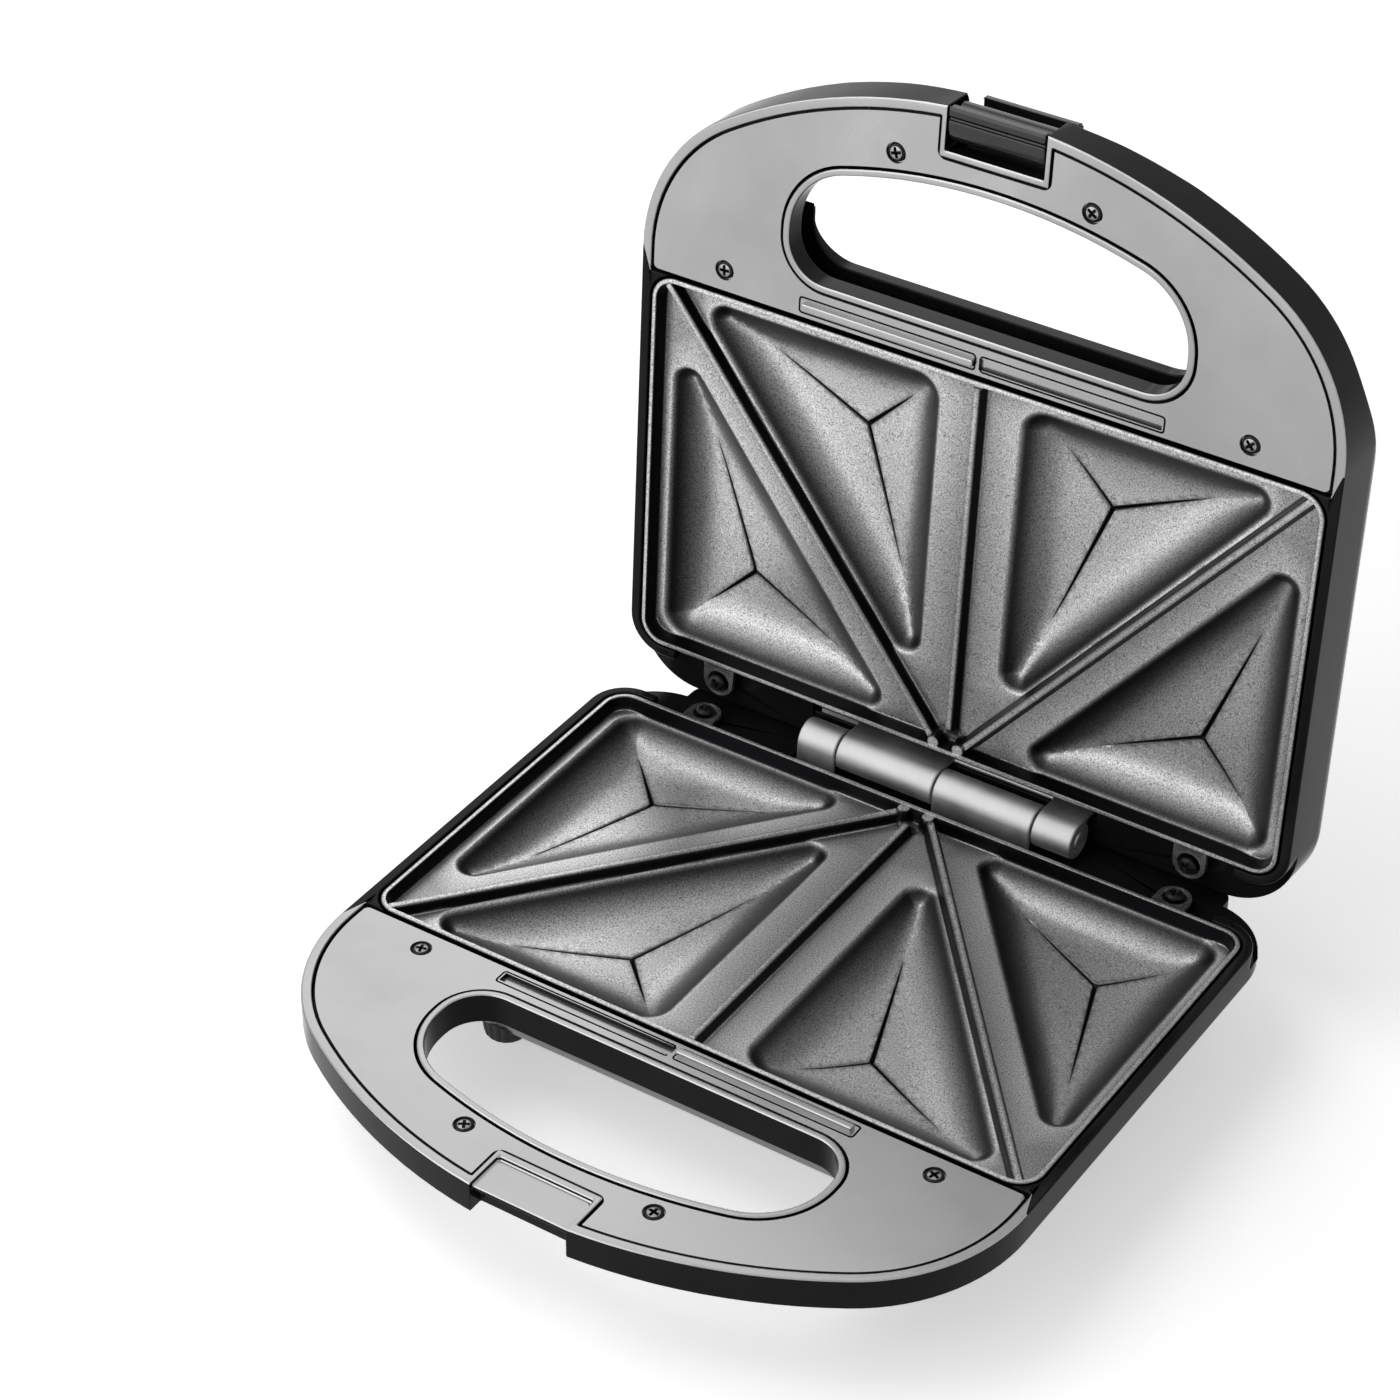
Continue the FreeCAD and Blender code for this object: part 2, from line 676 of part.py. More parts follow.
def make_heater(label, placement):
    """Sheathed heater bent to a U under the pockets, with a terminal stud at each end."""
    level = ZP - s["heater_low"]
    side, back = s["heater_side"], PLATE_Y - s["heater_back"]
    front, bend = PLATE_Y - s["heater_front"], s["heater_bend"]
    body = new_body(label)
    x, r = float(side), float(bend)
    y0, y1 = float(back), float(front)
    path = sketch(body, label + "_path", [
        line((-x, y0), (-x, y1 + r)), bow(-x + r, y1 + r, r, math.pi, math.pi * 1.5),
        line((-x + r, y1), (x - r, y1)), bow(x - r, y1 + r, r, -math.pi / 2, 0), line((x, y1 + r), (x, y0))], level)
    ring = spots(body, label + "_ring", [(-side, level)], s["heater_dia"], -back, "XZ_Plane")
    pipe = body.newObject("PartDesign::AdditivePipe", label + "_tube")
    pipe.Profile = ring
    pipe.Spine = path
    for i, way in enumerate((-1, 1)):
        pad(body, spots(body, "%s_stud%d" % (label, i), [(side * way, level)], s["stud_dia"],
                        -(back + s["stud_long"]), "XZ_Plane"), s["stud_long"] + 4)
    keep(label, body, placement)


def make_tray(label, placement):
    """Thin reflector tray under the heater, with a turned-up edge."""
    half, thick = s["tray_half"], s["sheet_thick"]
    front, back = PLATE_Y - s["tray_front"], PLATE_Y - s["tray_back"]
    body = new_body(label)
    pad(body, sketch(body, label + "_sheet", rect(-half, half, front, back, 6), TRAY_TOP - thick), thick)
    edge = rect(-half, half, front, back, 6) + rect(-half + thick, half - thick, front + thick, back - thick,
                                                    6 - float(thick))
    pad(body, sketch(body, label + "_edge", edge, TRAY_TOP - thick), thick + s["tray_rim"])
    pocket(body, spots(body, label + "_holes", BOSSES, s["shank_dia"] + s["screw_fit"] * 2, TRAY_TOP + 1), 3)
    keep(label, body, placement)


def make_panel(label, placement):
    """Inner face of a handle: a D-shaped plate with the opening, the latch notch, one rib and one slot."""
    gap = float(s["rim_wide"]) + float(s["panel_fit"])
    body = new_body(label)
    outline = rim_line(gap, PANEL_BACK, 2.0) + opening_line(float(s["collar"]) + float(s["panel_fit"]))
    pad(body, sketch(body, label + "_sheet", outline, PANEL_LOW), s["panel_thick"])
    notch = SLOT_HALF + s["collar"] - s["panel_fit"] * 0.5
    pocket(body, sketch(body, label + "_notch", notch_line(notch, -(s["slot_back"] - s["collar"] - 0.4), 0.5),
                        PANEL_TOP + 1), s["panel_thick"] + 2)
    mid, thick = s["key_mid"], s["key_thick"] / 2
    pad(body, sketch(body, label + "_rib", rect(s["key_near"], s["key_far"], -mid - thick, -mid + thick), PANEL_LOW),
        s["panel_thick"] + s["key_tall"])
    fit = s["key_fit"]
    pocket(body, sketch(body, label + "_slot", rect(-s["key_far"] - fit, -s["key_near"] + fit, -mid - thick - fit,
                                                    -mid + thick + fit), PANEL_TOP + 1), s["panel_thick"] + 2)
    pocket(body, spots(body, label + "_seats", PANEL_SCREWS, s["head_dia"] + s["screw_fit"] * 2, PANEL_TOP + 1),
           2.4)
    pocket(body, spots(body, label + "_holes", PANEL_SCREWS, s["shank_dia"] + s["screw_fit"] * 2, PANEL_TOP + 1),
           s["panel_thick"] + 2)
    keep(label, body, placement)


PANEL_SCREWS = [(way * x, -y) for x, y in ((s["panel_screw_wide"], s["panel_screw_back"]),
                                           (s["panel_screw_near"], s["panel_screw_front"])) for way in (-1, 1)]
SEAT = PANEL_TOP - 1.4
for side, placement in (("base", HOME), ("lid", OPEN.multiply(FLIP))):
    make_plate(side + "_cooking_plate", placement)
    make_heater(side + "_heater", placement)
    make_tray(side + "_reflector_tray", placement)
    make_panel(side + "_handle_panel", placement)
    rest = LIP - s["tab_low"]
    keep(side + "_panel_screws", group(side + "_panel_screws", [
        screw("%s_panel_screw%d" % (side, i), x, y, SEAT) for i, (x, y) in enumerate(PANEL_SCREWS)]), placement)
    keep(side + "_plate_screws", group(side + "_plate_screws", [
        screw("%s_plate_screw%d" % (side, i), x, y, rest) for i, (x, y) in enumerate(TABS)]), placement)
    keep(side + "_tray_screws", group(side + "_tray_screws", [
        screw("%s_tray_screw%d" % (side, i), x, y, TRAY_TOP - s["sheet_thick"], turned=True)
        for i, (x, y) in enumerate(BOSSES)]), placement)
    keep(side + "_thermostat", group(side + "_thermostat", [
        rod(side + "_stat_body", "z", s["stat_dia"], s["stat_tall"], 0.0, PLATE_Y - s["stat_front"],
            SLAB - s["stat_tall"])]), placement)


# ---------------------------------------------------------------- what both shells share
LEAF_Y = HINGE_Y - s["barrel_dia"] / 2
BLOCK_LOW = ZP - s["leaf_long"] + 0.2
HINGE_SCREWS = [-s["knuckle_far"] + 8, -12.0, 12.0, s["knuckle_far"] - 8]


def shared_cuts(body, side, level):
    """Well, ledges, handle hollow, opening and screw posts; level() turns a base height into this shell's.

    Every cut is a box or prism between two heights of the base, so the lid uses the same list mirrored.
    """
    up = level(1.0) > level(0.0)

    def carve(name, shapes, low, high):
        top, bottom = (high, low) if up else (level(low), level(high))
        pocket(body, sketch(body, side + "_" + name, shapes, top), top - bottom)

    def grow(name, shapes, low, high):
        bottom, top = (low, high) if up else (level(high), level(low))
        return pad(body, sketch(body, side + "_" + name, shapes, bottom), top - bottom)

    half = WELL_HALF
    top = ZP + 4
    collar = float(s["collar"])
    groove = float(s["panel_fit"])
    block_half = SLOT_HALF + 5.0
    slot_wall = s["slot_back"] - s["collar"]
    carve("well", rect(-half, half, WELL_FRONT, WELL_BACK, float(s["plate_corner"]) + float(s["plate_fit"])),
          SLAB - 0.05, top)
    ledge = half - s["lip_wide"] - 0.4
    carve("well_floor", rect(-ledge, ledge, WELL_FRONT + 2.0, WELL_BACK - 1.6, 7.0), BAND, SLAB)
    recess = rim_line(float(s["rim_wide"]), WELL_FRONT + 0.3, 1.0) + opening_line(collar)
    carve("panel_seat", recess, PANEL_LOW - 0.05, top)
    inner = float(s["rim_wide"]) + 2.0
    hollow = rim_line(inner, CHANNEL_BACK, 3.0) + opening_line(collar)
    carve("handle_hollow", hollow, ZP - s["channel_deep"], PANEL_LOW + 0.5)
    carve("opening", opening_line(0.0), ZP - 60, top)
    shelf = s["tab_side"] + 15
    carve("shelf", rect(-shelf, shelf, WELL_BACK - 1, s["rear_wall"] + 1), SHELF, top)
    if up:
        out = shelf - s["ledge_side"]
        grow("rear_ledge", rounded([(-out, s["rear_wall"] - 1), (out, s["rear_wall"] - 1),
                                    (out, s["rear_wall"] + s["ledge_out"]), (-out, s["rear_wall"] + s["ledge_out"])],
                                   [0, 0, 4, 4]), BAND, SHELF)
    barrel = s["barrel_dia"] / 2 + s["hinge_clear"]
    reach = s["knuckle_far"] + s["hinge_clear"] + 1
    grow("hinge_block", rect(-reach, reach, LEAF_Y + s["leaf_thick"] + 0.05, LEAF_Y + s["leaf_thick"] + 3.0),
         BLOCK_LOW, SHELF)
    carve("hinge_recess", rect(-reach, reach, WELL_BACK - 1, s["rear_wall"] + 1), ZP - barrel, top)
    carve("leaf_slot", rect(-reach, reach, LEAF_Y - 0.3, LEAF_Y + s["leaf_thick"] + 0.05), BLOCK_LOW, SHELF)
    row = level(ZP - s["leaf_long"] + s["leaf_screw"])
    pocket(body, spots(body, side + "_hinge_screw_holes", [(x, row) for x in HINGE_SCREWS],
                       s["shank_dia"] + s["screw_fit"], -LEAF_Y, "XZ_Plane"), s["leaf_thick"] + s["shank_long"] * 0.6)
    for i, (x, y) in enumerate(PANEL_SCREWS):
        post = spots(body, "%s_post%d" % (side, i), [(x, y)], s["post_dia"],
                     ZP - s["channel_deep"] - 0.5 if up else level(PANEL_LOW - 0.05))
        pad(body, post, PANEL_LOW - 0.05 - (ZP - s["channel_deep"] - 0.5))
    hole = s["shank_dia"] + s["screw_fit"]
    low = SEAT - s["shank_long"] - 0.5
    pocket(body, spots(body, side + "_post_holes", PANEL_SCREWS, hole, PANEL_LOW + 1 if up else level(low)),
           PANEL_LOW + 1 - low)
    for i, (x, y) in enumerate(TABS):
        rest = LIP - s["tab_low"] - s["tab_thick"] - 0.05
        post = spots(body, "%s_tab_post%d" % (side, i), [(x, y)], s["post_dia"], SHELF - 1 if up else level(rest))
        pad(body, post, rest - (SHELF - 1))
    grow("tab_blocks", rect(-s["tab_side"] - 7, -s["tab_side"] + 7, WELL_BACK - 0.5, WELL_BACK + 10) +
         rect(s["tab_side"] - 7, s["tab_side"] + 7, WELL_BACK - 0.5, WELL_BACK + 10), BAND, SHELF)
    low = LIP - s["tab_low"] - s["shank_long"] - 0.5
    pocket(body, spots(body, side + "_tab_post_holes", TABS, hole, SHELF + 3 if up else level(low)),
           SHELF + 3 - low)
    return carve, grow, block_half, slot_wall


def make_base_shell():
    body = new_body("base_shell")
    half = s["rim_half"]
    pad(body, sketch(body, "base_band_low", rim_line(0, s["rear_wall"], s["rear_round"]), BAND), SHELF - BAND)
    pad(body, sketch(body, "base_band_top", rim_line(0, s["upper_back"], s["upper_round"]), SHELF - 0.2),
        RIM - SHELF + 0.2)
    wide, rear = half - s["tub_side"], s["rear_wall"] - 2
    taper = s["tub_taper"]
    lean = s["tub_taper_back"]
    outer = [sketch(body, "base_tub_top", rect(-wide, wide, -s["tub_front"], rear, 22), BAND + 0.01),
             sketch(body, "base_tub_low", rect(-wide + taper, wide - taper, -s["tub_front_low"], rear - lean, 18),
                    FLOOR)]
    loft(body, "Additive", outer)
    wall = s["shell_wall"]
    front = s["tub_front"] - 6.5
    cavity = [sketch(body, "base_hollow_top", rect(-wide + wall, wide - wall, -front, rear - wall, 19.5),
                     BAND + 0.2),
              sketch(body, "base_hollow_low", rect(-wide + taper + wall - 0.6, wide - taper - wall + 0.6,
                                                   -s["tub_front_low"] + wall, rear - lean - wall + 0.4, 16),
                     FLOOR + s["floor_thick"])]
    loft(body, "Subtractive", cavity)
    carve, grow, block_half, slot_wall = shared_cuts(body, "base", lambda z: z)
    # latch notch: a walled recess across the middle of the front, with a catch bar over the hook
    cheek = SLOT_HALF + s["collar"] - 0.6
    grow("notch_block", rect(-cheek, cheek, -s["rim_front"] + 1.5, -slot_wall), BAND, RIM)
    carve("notch", notch_line(SLOT_HALF, -s["slot_back"], 1.2), HOOK_TOP + s["catch_thick"], ZP + 4)
    carve("notch_front", rect(-SLOT_HALF, SLOT_HALF, -AWAY, -s["catch_back"]), ZP - 25, ZP + 4)
    grow("catch", rect(-SLOT_HALF - 0.5, SLOT_HALF + 0.5, -s["catch_front"], -s["catch_back"] + 0.5), HOOK_TOP,
         HOOK_TOP + s["catch_thick"])
    feet = [(way * x, y) for x, y in FEET for way in (-1, 1)]
    for i, (x, y) in enumerate(feet):
        pad(body, spots(body, "base_foot_post%d" % i, [(x, y)], s["foot_dia"], FLOOR), s["floor_thick"] + 4)
    pocket(body, spots(body, "base_peg_holes", feet, s["peg_dia"] + s["foot_fit"] * 2, FLOOR + s["peg_long"] + 0.2),
           s["peg_long"] + 1)
    # cord gland hole through the sloping rear wall
    pocket(body, spots(body, "base_gland_hole", [(-s["gland_side"], s["gland_rise"])], s["gland_dia"] + 0.2,
                       18 - s["rear_wall"], "XZ_Plane"), 20)
    vents = []
    for row in (-1, 1):
        for i in range(5):
            y = 35 + (i - 2) * float(s["vent_pitch"])
            x = row * (float(s["vent_long"]) / 2 + 14)
            long, wide_half = float(s["vent_long"]) / 2, float(s["vent_wide"]) / 2
            vents += rect(x - long, x + long, y - wide_half, y + wide_half, wide_half * 0.98)
    pocket(body, sketch(body, "base_vents", vents, FLOOR + s["floor_thick"] + 1), s["floor_thick"] + 2)
    # the tub below the band is a cover of its own, with a fine joint line under the band
    far = half + 20
    lower = block("cover_region", -far, far, -far, far, FLOOR - 1, BAND - s["cover_gap"])
    below = block("frame_limit", -far, far, -far, far, FLOOR - 1, BAND)
    keep("base_shell", minus("base_frame_solid", body, below))
    common = doc.addObject("Part::Common", "bottom_cover_solid")
    common.Base = body
    common.Tool = lower
    keep("bottom_cover", common)


HOOK_TOP = ZP - s["hook_low"] + s["hook_play"]
FEET = [(s["foot_front_wide"], -s["foot_front"]), (s["foot_rear_wide"], s["foot_rear"])]


def make_lid_shell():
    body = new_body("lid_shell")
    shelf = mirror_z(SHELF)
    rim = mirror_z(RIM)
    crown = ZP + s["handle_rise"]
    pad(body, sketch(body, "lid_dome", rim_line(0, s["rear_wall"], s["rear_round"]), shelf), DECK - shelf)
    round_over(body, s["deck_round"], DECK)
    pad(body, sketch(body, "lid_band", rim_line(0, s["upper_back"], s["upper_round"]), rim), shelf - rim + 0.2)
    # side profile: low handle crown, slope up to the deck
    back, front = float(s["rear_wall"]), float(s["deck_front"])
    deck, handle = float(DECK), float(crown)
    edge = float(s["rim_front"])
    profile = rounded([(-edge - 6, handle - 7), (-edge + 3.0, handle - 1.2), (-edge + 9.5, handle), (-float(s["slope_front"]), handle),
                       (-front, deck), (back + 8, deck),
                       (back + 8, deck + 8), (-edge - 6, deck + 8)], [0, 6, 8, 45, 40, 0, 0, 0])
    pocket(body, sketch(body, "lid_side_profile", profile, s["rim_half"] + 1, "YZ_Plane"), s["rim_half"] * 2 + 2)
    # dished ring round the handle opening, then the pillow that swells over its rear edge
    dish = [sketch(body, "lid_dish_top", opening_line(13.0), crown + 0.2),
            sketch(body, "lid_dish_low", opening_line(1.2), crown - 6.5)]
    loft(body, "Subtractive", dish)
    pillow_y, pillow_z = float(s["pillow_front"]), float(ZP + s["pillow_rise"])
    lean = float(s["pillow_lean"])
    pillow = rounded([(-front, deck - 12), (-front - 4, deck - 3.5), (-front - 14, pillow_z + 1.0),
                      (-pillow_y + lean, pillow_z - 2.5), (-pillow_y, float(rim) + 4.5), (-pillow_y, float(rim)),
                      (-pillow_y + 6, float(rim)), (-pillow_y + 6, deck - 24)], [0, 5, 16, 12, 4, 0, 0, 0])
    pad(body, sketch(body, "lid_pillow", pillow, -s["pillow_half"], "YZ_Plane"), s["pillow_half"] * 2)
    # hollow of the lid above the plate
    wide = float(s["rim_half"] - s["tub_side"] - s["shell_wall"])
    start = mirror_z(BAND) - 0.2
    hollow_back, hollow_round = s["rear_wall"] - 6.5, float(s["rear_round"]) - 5
    hollow = [sketch(body, "lid_hollow_low", rect(-wide, wide, WELL_FRONT + 3, hollow_back, hollow_round), start),
              sketch(body, "lid_hollow_mid", rect(-wide, wide, -s["deck_front"] - 18.5, hollow_back, hollow_round),
                     start + 8),
              sketch(body, "lid_hollow_top", rect(-wide + 12, wide - 12, -s["deck_front"] + 3.5, hollow_back - 10,
                                                hollow_round - 5), DECK - s["floor_thick"])]
    loft(body, "Subtractive", hollow)
    carve, grow, block_half, slot_wall = shared_cuts(body, "lid", mirror_z)
    # latch slot right through the handle, with solid cheeks that carry the pin
    grow("slot_cheeks", rect(-block_half, block_half, -s["rim_front"] + 1.5, -slot_wall), ZP - 10,
         PANEL_LOW - 0.05)
    cheek = SLOT_HALF + s["collar"] - 0.6
    grow("slot_collar", rect(-cheek, cheek, -s["rim_front"] + 1.5, -slot_wall), PANEL_LOW - 1, RIM)
    slot = sketch(body, "lid_slot", rect(-SLOT_HALF, SLOT_HALF, -AWAY, -s["slot_back"]), TOP_CUT)
    pocket(body, slot, TOP_CUT - ZP + 5)
    pocket(body, spots(body, "lid_pin_bore", [(-s["latch_pin_front"], LATCH_Z)], s["latch_pin"] + 0.02,
                       s["latch_pin_long"] / 2 + 0.1, "YZ_Plane"), s["latch_pin_long"] + 0.2)
    # window for the indicator
    long, wide2 = s["window_long"] / 2 + 0.8, s["window_wide"] / 2 + 0.8
    y = PLATE_Y - s["indicator_back"]
    pocket(body, sketch(body, "lid_window", rect(-long, long, y - wide2, y + wide2, 5), DECK + 1), 8)
    keep("lid_shell", body, OPEN)


make_base_shell()
make_lid_shell()


# ---------------------------------------------------------------- hinge
def knuckle(name, x0, x1, turned):
    """Rolled knuckle with its strip of leaf, bored for the pin."""
    rolled = rod(name + "_roll", "x", s["barrel_dia"], x1 - x0, x0, HINGE_Y, ZP)
    strip = block(name + "_strip", x0, x1, LEAF_Y, LEAF_Y + s["leaf_thick"],
                  ZP if turned else ZP - 8, ZP + 8 if turned else ZP)
    bore = rod(name + "_bore", "x", s["hinge_pin"] + s["hinge_fit"] * 2, x1 - x0 + 2, x0 - 1, HINGE_Y, ZP)
    return minus(name, fuse(name + "_solid", [rolled, strip]), bore)


def make_leaf(label, spans, turned, placement):
    way = 1 if turned else -1
    far = s["knuckle_far"]
    low = ZP + 7.5 if turned else ZP - s["leaf_long"]
    plate = block(label + "_plate", -far, far, LEAF_Y, LEAF_Y + s["leaf_thick"], low, low + s["leaf_long"] - 7.5)
    rolls = [knuckle("%s_knuckle%d" % (label, i), x0, x1, turned) for i, (x0, x1) in enumerate(spans)]
    solid = fuse(label + "_solid", [plate] + rolls)
    level = ZP + way * (s["leaf_long"] - s["leaf_screw"])
    holes = [rod("%s_hole%d" % (label, i), "y", s["shank_dia"] + s["screw_fit"], s["leaf_thick"] + 2, x, LEAF_Y - 1,
                 level) for i, x in enumerate(HINGE_SCREWS)]
    keep(label, group(label, [minus(label + "_leaf", solid, fuse(label + "_holes", holes))]), placement)
    screws = [screw("%s_screw%d" % (label, i), x, LEAF_Y, level, axis="y") for i, x in enumerate(HINGE_SCREWS)]
    name = label.replace("_leaf", "_screws")
    keep(name, group(name, screws), placement)


far, mid, gap = s["knuckle_far"], s["knuckle_mid"], s["knuckle_gap"] / 2
make_leaf("base_hinge_leaf", [(-far, -mid - gap), (gap, mid - gap)], False, HOME)
make_leaf("lid_hinge_leaf", [(-mid + gap, -gap), (mid + gap, far)], True, OPEN)
keep("hinge_pin", group("hinge_pin", [rod("hinge_pin_rod", "x", s["hinge_pin"], far * 2 + 1, -far - 0.5, HINGE_Y, ZP)]))


# ---------------------------------------------------------------- latch
def make_latch():
    body = new_body("latch")
    face, thick, turn = float(s["latch_face"]), float(s["latch_thick"]), float(s["latch_round"])
    top, back, low = float(ZP + s["latch_top"]), float(s["latch_back"]), float(ZP - s["latch_tip"])
    pin_y, pin_z = float(s["latch_pin_front"]), float(LATCH_Z)
    hook = float(ZP - s["hook_low"])
    inner = face - thick
    deep = float(s["hook_deep"])
    web = 1.3
    profile = rounded([
        (-face, low), (-face, top), (-back, top), (-back, top - thick), (-pin_y + web, top - thick),
        (-pin_y + web, pin_z), (-pin_y - web, pin_z), (-pin_y - web, top - thick), (-inner, top - thick),
        (-inner, hook), (-inner + deep, hook), (-inner + deep, hook - float(s["hook_tall"])),
        (-inner, hook - float(s["hook_tall"]) - 3.0), (-inner, low)],
        [1.0, turn, 0.8, 0, 0, 0, 0, 0, turn - thick, 0, 0.3, 0.3, 0, 0])
    half = s["latch_half"]
    pad(body, sketch(body, "latch_profile", profile, -half, "YZ_Plane"), half * 2)
    pad(body, spots(body, "latch_knuckle_ring", [(-s["latch_pin_front"], LATCH_Z)], s["latch_knuckle"], -half,
                    "YZ_Plane"), half * 2)
    pocket(body, spots(body, "latch_bore", [(-s["latch_pin_front"], LATCH_Z)], s["latch_pin"] + s["hinge_fit"] * 2,
                       half + 1, "YZ_Plane"), half * 2 + 2)
    # rounded tab: the lower corners are cut away to shoulders
    h, shoulder = float(half), float(ZP - s["latch_shoulder"])
    for i, way in enumerate((1, -1)):
        away = rounded([(way * (h + 2), low - 3), (way * (h + 2), shoulder), (way * h, shoulder),
                        (way * (h - 1.5), low), (way * (h - 14), low), (way * (h - 14), low - 3)],
                       [0, 0, 0, 8.0, 0, 0])
        pocket(body, sketch(body, "latch_tab_corner%d" % i, away, AWAY, "XZ_Plane"), AWAY - s["latch_back"] + 5)
    for i in range(3):
        level = ZP + 5 - i * 4.4
        bar = rect(-9, 9, level - 0.45, level + 0.45)
        pocket(body, sketch(body, "latch_grip%d" % i, bar, AWAY, "XZ_Plane"), AWAY - s["latch_face"] + 0.5)
    line_y = s["latch_back"] + 3.2
    pocket(body, sketch(body, "latch_line", rect(-h - 1, h + 1, -line_y - 0.5, -line_y + 0.5), top + 1), 1.6)
    keep("latch", body, OPEN.multiply(SWING))
    pin = rod("latch_pin_rod", "x", s["latch_pin"], s["latch_pin_long"], -s["latch_pin_long"] / 2,
              -s["latch_pin_front"], LATCH_Z)
    keep("latch_pin", group("latch_pin", [pin]), OPEN)


make_latch()


# ---------------------------------------------------------------- feet, cord gland, inside parts of the base
feet = []
for i, (x, y) in enumerate((way * x, y) for x, y in FEET for way in (-1, 1)):
    pad_solid = rod("foot_pad%d" % i, "z", s["foot_dia"], FLOOR - 0.02, x, y, 0.0, s["foot_low_dia"])
    peg = rod("foot_peg%d" % i, "z", s["peg_dia"], s["peg_long"] + 0.5, x, y, FLOOR - 0.5)
    feet.append(fuse("foot%d" % i, [pad_solid, peg]))
keep("rubber_feet", group("rubber_feet", feet))

gland_y = s["rear_wall"] - s["gland_long"] + 0.5
gland = minus("gland_solid", fuse("gland_body", [
    rod("gland_tube", "y", s["gland_dia"], s["gland_long"], -s["gland_side"], gland_y, s["gland_rise"]),
    rod("gland_collar", "y", s["gland_flange"], 2.0, -s["gland_side"], s["rear_wall"] - 1.8, s["gland_rise"])]),
    rod("gland_bore", "y", s["gland_bore"], s["gland_long"] + 2, -s["gland_side"], gland_y - 1, s["gland_rise"]))
keep("cord_gland", group("cord_gland", [gland]))

floor_top = FLOOR + s["floor_thick"] + 0.02
block_front = s["rear_wall"] - s["block_back"]
terminal = block("terminal_solid", -s["gland_side"] - s["block_wide"] / 2 + 6, -s["gland_side"] + s["block_wide"] / 2 + 6,
                 block_front, block_front + s["block_deep"], floor_top, floor_top + s["block_tall"])
keep("terminal_block", group("terminal_block", [terminal]))
fuse_rod = rod("thermal_fuse_rod", "y", s["fuse_dia"], s["fuse_long"], 0.0, PLATE_FRONT + s["fuse_front"],
               SLAB - s["fuse_dia"] / 2 - 0.3)
keep("thermal_fuse", group("thermal_fuse", [fuse_rod]))


# ---------------------------------------------------------------- indicator on the deck
def make_indicator():
    y = PLATE_Y - s["indicator_back"]
    long, wide = s["bezel_long"] / 2, s["bezel_wide"] / 2
    w_long, w_wide = s["window_long"] / 2, s["window_wide"] / 2
    bar = s["window_bar"] / 2
    body = new_body("indicator_bezel")
    pad(body, sketch(body, "bezel_ring", rect(-long, long, y - wide, y + wide, float(wide) * 0.98) +
                     rect(-w_long, w_long, y - w_wide, y + w_wide, 4.2), DECK), s["bezel_rise"])
    pad(body, sketch(body, "bezel_bar", rect(-bar, bar, y - w_wide - 1, y + w_wide + 1), DECK), s["bezel_rise"] - 0.4)
    keep("indicator_bezel", body, OPEN)
    fit = float(s["window_fit"])
    for label, way in (("power_lens", -1), ("ready_lens", 1)):
        lens = new_body(label)
        x0, x1 = float(bar) + fit, float(w_long) - fit
        points = [(x0, y - w_wide + fit), (x1, y - w_wide + fit), (x1, y + w_wide - fit), (x0, y + w_wide - fit)]
        outline = rounded([(way * px, py) for px, py in points], [0.4, 4.0, 4.0, 0.4])
        pad(lens, sketch(lens, label + "_outline", outline, DECK + s["bezel_rise"] - 0.5 - s["lens_deep"]),
            s["lens_deep"])
        keep(label, lens, OPEN)
    seat = DECK + s["bezel_rise"] - 0.5 - s["lens_deep"]
    gap = s["lamp_gap"] / 2
    board = seat - 0.6 - s["lamp_dia"]
    holder = block("lamp_board", -w_long, w_long, y - 6, y + 6, board - 1.2, board)
    keep("lamp_holder", group("lamp_holder", [holder]), OPEN)
    lamps = [rod("neon%d" % i, "y", s["lamp_dia"], s["lamp_long"], way * gap, y - s["lamp_long"] / 2,
                 seat - s["lamp_dia"] / 2 - 0.4) for i, way in enumerate((-1, 1))]
    keep("neon_lamps", group("neon_lamps", lamps), OPEN)


make_indicator()


# ---------------------------------------------------------------- check and write
doc.recompute()
for item in doc.Objects:
    if "Invalid" in item.State or "Error" in item.State:
        raise RuntimeError("%s failed: %s" % (item.Label, item.State))
for label, item in nodes.items():
    shape = item.Shape
    if shape.isNull() or not shape.isValid() or not shape.Solids:
        raise RuntimeError("the shape of %s is not sound" % label)
os.makedirs("parts", exist_ok=True)
for label, item in nodes.items():
    item.Shape.exportStep("parts/%s.step" % label)
print("wrote", len(nodes), "nodes")
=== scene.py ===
"""Two-slice sandwich toaster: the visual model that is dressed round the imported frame.

Every piece is drawn in millimetres in the closed frame, where lid and base meet at the parting
plane.  It is then turned into the place where its body rests: the lid swung open, the latch
flipped over.
"""
from __future__ import annotations

import json
import logging
import math
from dataclasses import astuple, dataclass, replace
from enum import Enum
from typing import Callable, Sequence

import bmesh
import bpy
import numpy as np
from mathutils import Matrix, Vector
from mathutils.bvhtree import BVHTree
from mathutils.geometry import delaunay_2d_cdt


